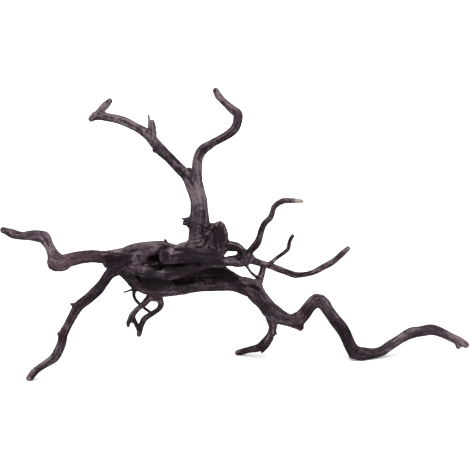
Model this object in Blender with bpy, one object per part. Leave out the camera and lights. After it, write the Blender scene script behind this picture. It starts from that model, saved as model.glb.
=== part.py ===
"""Spiderwood root: the weathered root of one shrub, grown as a single piece of wood.

It stands on three toes, 280 mm high and 480 mm from tip to tip. The limbs are
set out on a front elevation, as the eye sees the root from 1.76 m in front and
10 degrees above level, and each point is then carried back along its sight line
to its own depth. Lengths in the tables are millimetres; the model is in metres,
with +Z up, +X to the right and +Y to the back.
"""

import math

import bmesh
import bpy
from mathutils import Vector

MM = 0.001

# Front elevation: where the eye stands, and what it looks at
EYE_DISTANCE = 1762.0
EYE_TILT = math.radians(10.0)
SIGHT_ACROSS = 235.0
SIGHT_UP = 145.0
SIGHT_HEIGHT = 134.0

# The root's frame: its box is centred here, measured from the sight point
CENTRE_ACROSS = 1.8
CENTRE_BACK = -5.6

# How finely the wood is modelled
SHORTEST_RING_STEP = 2.0
RING_STEP_PER_RADIUS = 0.6
SIDES_PER_RADIUS = 1.6
FEWEST_SIDES = 10
MOST_SIDES = 22
WOOD_VOXEL = 0.85
SMOOTHING_ROUNDS = 6
KEPT_SHARE_OF_FACES = 0.038

# The smoothing takes this many square millimetres, over the radius, off a round limb
SMOOTHING_LOSS = 0.54

# A limb's section is a round with two and three shallow lobes that turn along it
LOBE_DEPTH = 0.06
LOBE_TWIST = math.radians(5.0)

# The end of a limb: sections past its last point, as shares of the radius there and
# how far on they lie, in radii
DOMED_TIP = ((0.75, 0.55), (0.4, 0.85))
BROKEN_TIP = ((1.0, 1.2),)

# Each limb runs from its root, sunk in the wood it grows from, out to its tip.
# A row is: across from the left tip, up from the lowest toe, back, radius.
LIMBS = {
    "left_arm": [
        (134, 124, -8, 9.5),
        (118, 124.9, -12, 6),
        (104, 123.4, -16, 6.0),
        (92, 123.3, -19, 6.1),
        (80, 122.5, -21, 6.2),
        (70, 120, -21, 6.4),
        (62, 117.7, -19, 6.8),
        (55.3, 120.5, -14, 6.9),
        (51.0, 127.8, -8, 5.2),
        (48.4, 135.4, -2, 5.0),
        (43.9, 141.9, 4, 5.7),
        (38, 144.2, 10, 5.5),
        (30, 144.4, 15, 4.7),
        (22, 144.3, 19, 3.7),
        (14, 145.7, 24, 4.1),
        (7, 148.6, 28, 3.2),
        (3.3, 149.9, 30.3, 2.8),
    ],
    "left_arm_elbow": [
        (63, 116.8, -18, 7.5),
        (57, 117.5, -14, 9.1),
        (55, 118.4, -12, 8.3),
    ],
    "arm_web": [
        (121, 116.5, -12, 6),
        (110.5, 115.3, -15, 5),
        (106, 117, -17, 2.6),
    ],
    "left_leg": [
        (124, 114, -12, 8.3),
        (111, 107.8, -22, 5.6),
        (104.6, 99.3, -29, 5.1),
        (97.6, 90.4, -35, 5.2),
        (88.1, 81.8, -41, 4.7),
        (78.1, 73.7, -46, 4.5),
        (72.8, 64.4, -49, 4),
        (67.9, 55, -51, 3.8),
        (63.5, 46.1, -53, 4.4),
        (61.8, 37, -54, 4.2),
        (58.4, 28.8, -55, 4.5),
        (53.9, 21.8, -56, 4.3),
        (46.7, 16.8, -57, 3.5),
        (39.6, 12.2, -58, 3.2),
        (33.9, 7.3, -59, 3.4),
        (29.7, 1.5, -59.8, 3.2),
    ],
    "left_leg_thorn": [(75, 74.5, -47, 2.4), (71.2, 76, -50, 0.9)],
    "left_leg_bump": [(62, 46, -54, 3.2), (59.6, 46, -55.5, 2.3)],
    "shoulder": [
        (119, 121.5, -6, 7.6),
        (128, 123.5, -6, 9.4),
        (138, 125.6, -6, 11.1),
        (150, 126.1, -4, 11.9),
        (162, 126.3, -3, 12.4),
        (174, 123.8, -4, 11.5),
        (188, 124, -6, 12.5),
        (202, 126, -8, 13),
    ],
    "shoulder_thorn": [(167, 135, -4, 2.4), (165, 140.4, -5, 0.9)],
    "core": [
        (122, 114, 0, 6),
        (136, 112, 0, 9),
        (150, 111.5, 0, 10),
        (165, 111, 0, 10),
        (182, 111, 2, 9),
        (200, 112, 3, 9),
        (216, 112, 0, 8),
    ],
    "trunk": [
        (208, 120, -9, 14),
        (203, 134, -11, 12),
        (199.6, 148, -13, 10.2),
        (200.0, 160, -13, 9.3),
        (199.4, 170, -12, 8.8),
        (198.8, 180, -11, 8.0),
        (195.9, 190, -10, 7.6),
        (193.3, 198, -9, 8.2),
        (190.8, 205, -8, 6.4),
    ],
    "trunk_heel": [
        (200.2, 143.5, -11, 9.9),
        (192.4, 136, -9, 5.7),
        (182.6, 132.6, -6, 4.6),
    ],
    "trunk_snag": [
        (195, 157.3, -16, 7.1),
        (188.5, 158.2, -19, 4.2),
        (185, 158, -20, 2.2),
    ],
    "trunk_snag_upper_thorn": [(188, 159.5, -19, 2.8), (182.3, 161.2, -21, 0.8)],
    "trunk_snag_lower_thorn": [(188, 156.8, -19, 2.8), (183.4, 155.6, -21, 0.8)],
    "right_antler": [
        (195.8, 190, -12, 6.3),
        (196.8, 200, -14, 5.1),
        (196.8, 210, -16, 5.1),
        (198.1, 220, -18, 4.9),
        (200.4, 226.5, -20, 4.7),
        (204.2, 231.3, -21, 4.3),
        (212, 236.1, -23, 3.8),
        (220.8, 241.1, -24, 3.5),
        (229.6, 246.4, -25, 3.9),
        (235.8, 252.9, -24, 4.1),
        (238.2, 261.8, -20, 4),
        (237.5, 266.6, -16, 4.3),
        (231.6, 270.9, -10, 3.7),
        (224.2, 277.8, -2, 3.0),
        (218.7, 284, 5, 3.0),
        (215.6, 289, 10, 2.7),
    ],
    "left_antler": [
        (193, 196, -6, 6.5),
        (186.5, 205, -3, 5.6),
        (180, 211, 1, 5.0),
        (169.9, 221.5, 6, 4.8),
        (160.8, 230.2, 10, 5.1),
        (155, 236.9, 13, 5.0),
        (150, 243.3, 16, 4.9),
        (143.6, 248, 19, 4.2),
        (134.8, 252.9, 22, 3.8),
        (125, 258.3, 24, 3.8),
        (115, 261.4, 24, 3.6),
        (107, 263, 22, 3.9),
        (100, 264.4, 19, 4.1),
        (95.3, 264.1, 15, 4),
        (91.2, 261, 11.5, 2.7),
    ],
    "left_antler_bump": [(159, 233, 11, 4.5), (154.8, 229.6, 12.5, 2.3)],
    "left_antler_tip": [
        (98, 264.5, 18, 3.8),
        (101.4, 270.3, 22, 3.4),
        (106, 274.9, 27, 3.4),
        (110.4, 279, 31, 2.4),
    ],
    "antler_stub": [
        (151.8, 247, 17, 4.2),
        (152.7, 254.5, 14, 2.5),
        (151.7, 259, 12, 1.5),
    ],
    "antler_splinter": [
        (150, 250, 15.5, 2.6),
        (149.3, 258, 13, 1.1),
        (148.7, 264, 12, 0.8),
    ],
    "flange": [
        (213, 116, -12, 13),
        (214.8, 129, -14, 9.7),
        (218.2, 140, -15, 10),
        (219.2, 149, -14, 8),
        (220, 154.3, -13, 4.4),
    ],
    "flange_lip": [
        (208, 148, -16, 7.4),
        (212.4, 151.6, -18, 4.8),
        (213.5, 155, -19, 2.8),
    ],
    "front_stub": [
        (220, 121, -20, 9),
        (206, 123.4, -25, 8.6),
        (192, 124.4, -29, 7.4),
        (180, 124.4, -32, 7.2),
        (171, 124.0, -34.5, 7.6),
        (165, 123.6, -36.5, 7.7),
    ],
    "cheek": [(134, 120.5, -11, 7.4), (140, 121, -13, 8.2), (145, 122, -12, 7.6)],
    "band": [
        (120, 113, -14, 6),
        (132, 112, -20, 6.5),
        (145, 109, -26, 6),
        (160, 106.8, -29, 5),
        (175, 106.0, -31, 5),
        (190, 110.8, -31, 4.6),
        (205, 115.4, -28, 4.2),
        (218, 117.8, -25, 4.6),
        (230, 118.5, -22, 4.8),
        (239, 118.8, -19, 5.3),
        (246, 120.5, -16, 5.2),
    ],
    "belly": [
        (119, 114.5, -5, 6.8),
        (129, 107.6, -6, 9),
        (141, 100.9, -8, 12.5),
        (154, 98, -10, 13.5),
        (168, 96, -11, 11.5),
        (180, 96, -8, 8.5),
    ],
    "lower_root": [
        (150, 97, -14, 12),
        (165, 94.6, -19, 11.0),
        (180, 93.2, -21, 7.8),
        (195, 94, -21, 6.0),
        (210, 94.4, -20, 5.7),
        (222, 95, -18, 6),
        (233, 95.5, -15, 7),
        (243, 94, -12, 8.6),
        (252.5, 90.5, -9, 9.6),
        (259.7, 82.2, -6, 8.5),
        (265.7, 74.3, -3, 7.8),
        (272.7, 67, 0, 8.2),
        (281.2, 62.2, 2, 7.2),
        (290, 60, 4, 5.9),
        (298.4, 61.3, 6, 7.1),
        (304.7, 66.9, 8, 6.5),
        (309.6, 73.6, 10, 5.9),
        (316.4, 79.2, 12, 6.2),
        (323.2, 76.4, 13, 6.2),
        (329, 68.8, 14, 5.8),
        (335.6, 60.4, 15, 5.9),
        (342, 51.4, 17, 6.2),
        (346.7, 41.9, 18, 5.9),
        (351, 33.1, 19, 5.8),
        (355.3, 27.5, 20, 6),
        (363, 26, 22, 5.8),
        (372, 26.5, 26, 4.9),
        (382, 29.2, 31, 4.6),
        (390.8, 35.1, 36, 4.4),
        (400, 41, 40, 4.7),
        (410.3, 46.7, 43, 5),
        (420, 48.5, 45, 4.8),
        (431, 50.4, 46, 5.1),
        (440, 48, 45, 4.6),
        (450, 43.3, 42, 4.2),
        (459, 39.2, 39, 4.2),
        (466, 35.6, 36.5, 3.2),
    ],
    "lower_root_heel": [(296, 60, 6, 6.7), (299.9, 52.6, 6.5, 3.3)],
    "heel_web": [(284, 58.8, 3, 4.2), (292, 56.5, 5, 3.9), (299.6, 52, 6.5, 2.2)],
    "right_bend_corner": [(355, 28, 20, 5), (352, 24.6, 20, 3.4)],
    "right_bend_toe": [(362, 25, 21, 4.5), (362, 20.9, 20.5, 2.7)],
    "right_tip_stub": [(457, 38.5, 39, 3), (458.3, 33.6, 38, 1.9)],
    "cavity_wall": [
        (172, 99, 0, 8),
        (190, 103.5, 4, 9),
        (205, 106, 6, 9.3),
        (219, 106.4, 5, 8.7),
        (228.5, 103, 1, 6.9),
        (238.5, 97.9, -4, 6.3),
        (250, 92, -8, 7),
    ],
    "cavity_floor": [
        (172, 96, -8, 7),
        (188, 96.5, -8, 6),
        (205, 97, -8, 6),
        (221, 97, -8, 6),
        (236, 95, -8, 6),
    ],
    "right_leg": [
        (271.5, 66, 2, 6.5),
        (272.8, 56, 10, 4.4),
        (272.4, 50, 16, 3.6),
        (270.4, 44.4, 21, 3.6),
        (266.4, 39.1, 26, 3.9),
        (258.8, 32.4, 32, 3.6),
        (250.5, 30.2, 37, 2.9),
        (243.5, 28.3, 41, 3.0),
        (238, 27, 44, 2.8),
    ],
    "right_leg_bump": [(272.4, 48.5, 17, 3), (275, 46.8, 18, 1.8)],
    "right_leg_splinter": [
        (271, 42, 22, 2.4),
        (267, 33.5, 28, 1.5),
        (262.2, 28.6, 32, 0.9),
    ],
    "hoop": [
        (219, 132, -19, 6),
        (226, 134, -21, 5.1),
        (231, 134.6, -20, 4.6),
        (238, 132, -17, 4.5),
        (243, 126, -15, 4.4),
        (245.5, 119.5, -14, 5),
    ],
    "knot": [(243, 120.5, -16, 5.5), (247, 121.3, -14, 6), (250.5, 122, -12, 4.5)],
    "reach_branch": [
        (246.5, 122, -14, 5.5),
        (250.5, 129, -18, 4.0),
        (256, 136, -23, 3.4),
        (259.2, 143, -27, 2.6),
        (261.5, 150, -31, 2.5),
        (265, 156.6, -35, 2.6),
        (270.1, 162.3, -38, 2.6),
        (272.5, 168.3, -41, 2.2),
        (274, 172.7, -43, 2.4),
        (278, 176.5, -45, 2.4),
        (283.5, 178.8, -46, 2.3),
        (290, 179.2, -47, 1.9),
        (296, 179, -47, 1.6),
        (301.5, 178.5, -47, 1.2),
    ],
    "curved_branch": [
        (248, 122, -12, 5),
        (255, 118.6, -6, 3.3),
        (262, 116.3, 0, 3.0),
        (270, 114.3, 6, 2.9),
        (278, 110.8, 12, 2.8),
        (286, 108, 17, 2.8),
        (294, 105.4, 21, 3.1),
        (300.3, 105.1, 24, 2.5),
        (308, 106.2, 26, 2.2),
        (315, 108.6, 27, 2.4),
        (323, 112.8, 27, 2.6),
        (331, 117.3, 25, 2.6),
        (337, 121.5, 23, 2.6),
        (342, 126.5, 20, 2.6),
        (347.9, 131.5, 17, 2.1),
    ],
    "side_twig": [
        (268.5, 114.8, 5, 2.6),
        (273.2, 119.8, 2, 1.7),
        (278.2, 123.8, -2, 1.6),
        (284.6, 128.2, -7, 1.5),
        (288.1, 131.8, -11, 1.7),
        (289.1, 136.3, -14, 1.3),
        (290.4, 140.4, -17, 1.3),
        (292.7, 144.4, -20, 1.3),
    ],
    "strut": [
        (264.2, 115.5, 2, 2.8),
        (262.9, 109, 0, 2.4),
        (261.1, 104, -2, 2.4),
        (259.2, 99, -4, 3.2),
        (256.5, 93.5, -7, 5.4),
    ],
    "thread": [
        (245, 117, -17, 1.5),
        (248.4, 110.2, -16, 1.1),
        (251.6, 106.1, -13, 1.1),
        (258, 101.8, -6, 1.1),
    ],
    "rootlet_base": [(152.5, 90.5, -12, 5.3), (155.1, 83.8, -13, 4.6), (157.6, 82.3, -13, 3.9)],
    "rootlet_left": [
        (153, 87, -13, 3.6),
        (148, 82, -15, 3),
        (144, 77, -17, 2.6),
        (140.7, 73.8, -18, 2.4),
        (136.5, 70, -19, 2.4),
        (132.7, 65, -20, 2.7),
        (130.8, 60.5, -20, 2.5),
        (128.5, 57, -20, 1.6),
        (128.3, 54, -20, 1.1),
    ],
    "rootlet_bridge": [
        (132.5, 62, -20, 2.4),
        (135.2, 57.5, -20, 1.8),
        (137.4, 53.5, -19, 1.9),
        (139.2, 50, -18, 2.1),
    ],
    "rootlet_right": [
        (157, 86, -12, 4.5),
        (160.5, 80, -12, 3.1),
        (161.3, 75, -13, 2.9),
        (159.5, 71.5, -14, 2.6),
        (155.5, 68.5, -15, 2.3),
        (149.8, 65.2, -16, 2.6),
        (144.7, 61.3, -17, 2.6),
        (142.2, 57, -17, 2.4),
        (140.3, 52, -18, 2.4),
        (139.1, 45.8, -18, 2.2),
    ],
    "rootlet_back": [
        (135.4, 92, -8, 2.4),
        (133.8, 86, -6, 1.4),
        (135.2, 81, -6, 1.3),
        (138.8, 76.8, -7, 1.3),
        (144.1, 72.2, -9, 1.2),
        (151, 67.4, -14, 1.2),
    ],
    "rootlet_hair": [(135.5, 91, -9, 1.6), (129, 88.8, -12, 0.8), (124, 87.2, -15, 0.7)],
}

# Limbs that end in a broken face, and which way that face looks (nothing: straight ahead)
BROKEN_FACES = {"front_stub": (-0.78, -0.62, 0.0), "antler_stub": None, "flange_lip": None}

# Hollows rotted into the wood: how many times deeper than high each one is, and its
# line as rows of across, up, back, radius
HOLLOWS = {
    "knot_hole": (4.0, [(150.5, 120.4, -18, 4.6), (156, 121, -18, 5.0)]),
    "belly_hollow": (
        2.0,
        [
            (172.5, 99, -24, 1.6),
            (177, 98.6, -22, 3.2),
            (184, 99.2, -20, 4.3),
            (190, 100.8, -19, 4.7),
            (196, 103, -18, 4.5),
            (205, 105.7, -17, 4.9),
            (216, 106, -16, 6.0),
            (227, 105, -15, 6.6),
            (234, 101.5, -14, 3.6),
        ],
    ),
    "under_stub_slot": (
        4.0,
        [
            (154.6, 111.4, -24, 2.3),
            (161, 112.4, -26, 2.5),
            (169, 113.7, -28, 2.1),
            (179, 115.2, -29, 1.6),
            (190, 116.5, -30, 1.3),
            (199, 116.7, -30, 1.7),
        ],
    ),
    "arm_recess": (1.3, [(108, 121.8, -24, 3.0), (118, 120.3, -24, 4.6), (127, 120.4, -23, 4.2)]),
    "hoop_gap": (6.0, [(225.2, 125.7, -18, 2.0), (229.4, 127, -18, 2.8), (234.8, 126.5, -18, 2.3)]),
}


def on_sight_line(across, up, back):
    """The place of a point of the front elevation, and how much larger things are there."""
    right = across - SIGHT_ACROSS
    above = up - SIGHT_UP
    sine, cosine = math.sin(EYE_TILT), math.cos(EYE_TILT)
    beyond = (back - above * sine) / (cosine + above * sine / EYE_DISTANCE)
    spread = 1 + beyond / EYE_DISTANCE
    height = SIGHT_HEIGHT + above * spread * cosine - beyond * sine
    place = Vector((right * spread - CENTRE_ACROSS, back - CENTRE_BACK, height))
    return place, spread


def before_smoothing(radius):
    """The radius to model, so that the smoothing leaves the one wanted."""
    return (radius + math.sqrt(radius**2 + 4 * SMOOTHING_LOSS)) / 2


def limb_stations(rows):
    """Centre points and radii along a smooth curve through a limb's rows."""
    knots = []
    for across, up, back, radius in rows:
        place, spread = on_sight_line(across, up, back)
        knots.append((place, radius * spread))
    stations = []
    for i in range(len(knots) - 1):
        before = knots[max(i - 1, 0)]
        start, end = knots[i], knots[i + 1]
        after = knots[min(i + 2, len(knots) - 1)]
        length = (end[0] - start[0]).length
        step = max(SHORTEST_RING_STEP, RING_STEP_PER_RADIUS * min(start[1], end[1]))
        count = max(1, round(length / step))
        for k in range(count):
            t = k / count
            place = through(before[0], start[0], end[0], after[0], t)
            radius = through(before[1], start[1], end[1], after[1], t)
            stations.append((place, radius))
    stations.append(knots[-1])
    return stations


def through(before, start, end, after, t):
    """A point or number at t on the Catmull-Rom curve from start to end."""
    return (
        start
        + (end - before) * (t / 2)
        + (before * 2 - start * 5 + end * 4 - after) * (t * t / 2)
        + (start * 3 - end * 3 + after - before) * (t**3 / 2)
    )


def carried_frames(places):
    """Two cross directions and the way ahead at each place, carried along without twist."""
    frames = []
    side = None
    for i, place in enumerate(places):
        ahead = places[min(i + 1, len(places) - 1)] - places[max(i - 1, 0)]
        ahead.normalize()
        if side is None:
            side = ahead.orthogonal()
        side = (side - ahead * side.dot(ahead)).normalized()
        frames.append((side, ahead.cross(side), ahead))
    return frames


def lobed(angle, turn):
    """Share of the radius at an angle of the section, with the lobes turned by turn."""
    two = math.cos(2 * angle + turn)
    three = math.cos(3 * angle - 2 * turn)
    return 1 + LOBE_DEPTH * (two + 0.6 * three)


def add_ring(bm, centre, radius, frame, sides, turn, stretch):
    """One section of a limb or hollow, as a loop of vertices, stretched from front to back."""
    ring = []
    for k in range(sides):
        angle = 2 * math.pi * k / sides
        reach = radius * lobed(angle, turn)
        offset = frame[0] * math.cos(angle) + frame[1] * math.sin(angle)
        offset.y *= stretch
        ring.append(bm.verts.new((centre + offset * reach) * MM))
    return ring


def add_limb(bm, rows, blunt=False, face=None, stretch=1.0):
    """A closed tapering limb: rings along its line, and a dome or a broken face at its tip."""
    stations = limb_stations(rows)
    frames = carried_frames([place for place, _ in stations])
    thickest = max(radius for _, radius in stations)
    sides = round(min(MOST_SIDES, max(FEWEST_SIDES, SIDES_PER_RADIUS * thickest)))
    rings = []
    for i, ((place, radius), frame) in enumerate(zip(stations, frames)):
        rings.append(add_ring(bm, place, radius, frame, sides, i * LOBE_TWIST, stretch))
    tip, tip_radius = stations[-1]
    ahead = frames[-1][2]
    turn = (len(stations) - 1) * LOBE_TWIST
    for share, reach in (BROKEN_TIP if blunt else DOMED_TIP):
        centre = tip + ahead * (tip_radius * reach)
        rings.append(add_ring(bm, centre, tip_radius * share, frames[-1], sides, turn, stretch))
    faces = [bm.faces.new(list(reversed(rings[0]))), bm.faces.new(rings[-1])]
    for near, far in zip(rings, rings[1:]):
        for k in range(sides):
            following = (k + 1) % sides
            faces.append(bm.faces.new((near[k], near[following], far[following], far[k])))
    if blunt:
        break_off(bm, faces, tip * MM, Vector(face) if face else ahead)


def break_off(bm, faces, place, facing):
    """Cuts a limb's shell off flat at a place, and closes it with the broken face."""
    shell = {part for face in faces for part in (face, *face.edges, *face.verts)}
    cut = bmesh.ops.bisect_plane(
        bm, geom=list(shell), plane_co=place, plane_no=facing, clear_outer=True
    )
    rim = [part for part in cut["geom_cut"] if isinstance(part, bmesh.types.BMEdge)]
    bmesh.ops.holes_fill(bm, edges=rim)


def add_object(name, bm):
    """A mesh object made from a bmesh, with the faces turned out."""
    bmesh.ops.recalc_face_normals(bm, faces=bm.faces)
    mesh = bpy.data.meshes.new(name)
    bm.to_mesh(mesh)
    bm.free()
    thing = bpy.data.objects.new(name, mesh)
    bpy.context.scene.collection.objects.link(thing)
    return thing


def make_limbs():
    """All limbs as overlapping closed shells in one mesh."""
    bm = bmesh.new()
    for name, rows in LIMBS.items():
        fuller = [(across, up, back, before_smoothing(r)) for across, up, back, r in rows]
        add_limb(bm, fuller, name in BROKEN_FACES, BROKEN_FACES.get(name))
    return add_object("spiderwood_root", bm)


def make_hollows():
    """The cutter for the rotted hollows."""
    bm = bmesh.new()
    for stretch, rows in HOLLOWS.values():
        add_limb(bm, rows, stretch=stretch)
    cutter = add_object("hollow_cutter", bm)
    cutter.hide_render = True
    cutter.display_type = "WIRE"
    return cutter


def make_floor_cutter():
    """The block under the floor, which wears the toes flat."""
    bm = bmesh.new()
    bmesh.ops.create_cube(bm, size=1.0)
    for vertex in bm.verts:
        vertex.co.z -= 0.5
    cutter = add_object("floor_cutter", bm)
    cutter.hide_render = True
    cutter.display_type = "WIRE"
    return cutter


def wood_material():
    """Dry, dark brown root wood with a grey-violet bloom."""
    material = bpy.data.materials.new("weathered_root_wood")
    material.use_nodes = True
    shader = material.node_tree.nodes["Principled BSDF"]
    shader.inputs["Base Color"].default_value = (0.075, 0.052, 0.056, 1)
    shader.inputs["Roughness"].default_value = 0.85
    shader.inputs["Metallic"].default_value = 0.0
    return material


def fuse(root, hollows, floor):
    """The modifiers that make the shells one body of wood."""
    skin = root.modifiers.new("one_skin", "REMESH")
    skin.mode = "VOXEL"
    skin.voxel_size = WOOD_VOXEL * MM
    skin.use_smooth_shade = True
    soften = root.modifiers.new("soft_crotches", "SMOOTH")
    soften.factor = 0.5
    soften.iterations = SMOOTHING_ROUNDS
    rot = root.modifiers.new("rotted_hollows", "BOOLEAN")
    rot.operation = "DIFFERENCE"
    rot.object = hollows
    thin = root.modifiers.new("fewer_faces", "DECIMATE")
    thin.ratio = KEPT_SHARE_OF_FACES
    wear = root.modifiers.new("worn_toes", "BOOLEAN")
    wear.operation = "DIFFERENCE"
    wear.object = floor


def main():
    for old in list(bpy.data.objects):
        bpy.data.objects.remove(old)
    root = make_limbs()
    root.data.materials.append(wood_material())
    fuse(root, make_hollows(), make_floor_cutter())


main()
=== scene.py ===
"""The look of a weathered spiderwood root: its wood, grain, splits, pits and bloom, and the light and
shade painted into its colour.

The root is one grown piece of wood, standing on three toes. Its limbs are set out
on a front elevation, as the eye sees the root from 1.76 m in front and 10 degrees
above level, and each point is carried back along its sight line to its own depth.
Lengths are millimetres, and metres only in meshes, the material, the stage and the camera.
"""

import math

import bmesh
import bpy
import numpy as np
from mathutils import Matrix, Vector


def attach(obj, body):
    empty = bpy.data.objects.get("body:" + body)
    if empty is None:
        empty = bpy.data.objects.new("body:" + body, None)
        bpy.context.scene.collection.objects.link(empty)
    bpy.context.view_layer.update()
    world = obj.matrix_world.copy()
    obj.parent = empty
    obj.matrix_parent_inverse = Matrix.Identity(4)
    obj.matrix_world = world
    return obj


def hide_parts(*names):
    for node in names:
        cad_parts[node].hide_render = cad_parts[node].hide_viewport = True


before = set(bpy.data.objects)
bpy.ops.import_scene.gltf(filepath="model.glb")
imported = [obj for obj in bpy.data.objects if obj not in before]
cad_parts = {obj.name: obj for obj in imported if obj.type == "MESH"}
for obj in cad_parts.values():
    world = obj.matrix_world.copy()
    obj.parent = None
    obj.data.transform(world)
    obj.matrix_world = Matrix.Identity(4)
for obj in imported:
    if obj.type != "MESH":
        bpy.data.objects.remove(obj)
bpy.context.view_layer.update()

MM = 0.001

# Front elevation: where the eye stands, and what it looks at
EYE_DISTANCE = 1762.0
EYE_TILT = math.radians(10.0)
SIGHT_ACROSS = 235.0
SIGHT_UP = 145.0
SIGHT_HEIGHT = 134.0

# The root's frame: its box is centred here, measured from the sight point
CENTRE_ACROSS = 1.8
CENTRE_BACK = -5.6

# How finely the skin is made
RING_STEP = 2.0
RING_STEP_PER_RADIUS = 0.6
SIDES = 12
SPARE_RADIUS = 0.35
ROUGH_VOXEL = 0.85
SKIN_VOXEL = 0.75
SKIN_TRIANGLES = 194000
EASING = 0.5
FIRST_EASING_ROUNDS = 2
SETTLING_ROUNDS = 2
SETTLING_LIMIT = 1.2

# Sections past a limb's last point, each with its share of the radius and its reach in
# radii, and how far behind a broken face that face shapes the skin
ROUND_TIP = ((0.83, 0.55), (0.45, 0.88))
BLUNT_TIP = ((1.0, 1.2),)
FACE_REACH = 5.0

# Where limbs meet at an angle, a fillet about this wide fills the crotch, and less on
# thin limbs; and how much of the skin easing takes off, which is put back on
FILLET = 5.0
FILLET_PER_RADIUS = 0.75
LEAST_FILLET = 1.0
EASED_OFF = 0.38

# How near a limb a place has to be to be measured, the gap of a place that is near none,
# and a length too short to matter
NEAR_A_LIMB = 7.0
FAR_AWAY = 99.0
TINY = 1e-9

# The columns of what is known of a place's limb: the way out of it, its radius, and the
# place in its grain, with the length along it first
FACTS = 7
OUT = slice(0, 3)
RADIUS = 3
ALONG = 4
GRAIN = slice(4, 7)

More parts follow.
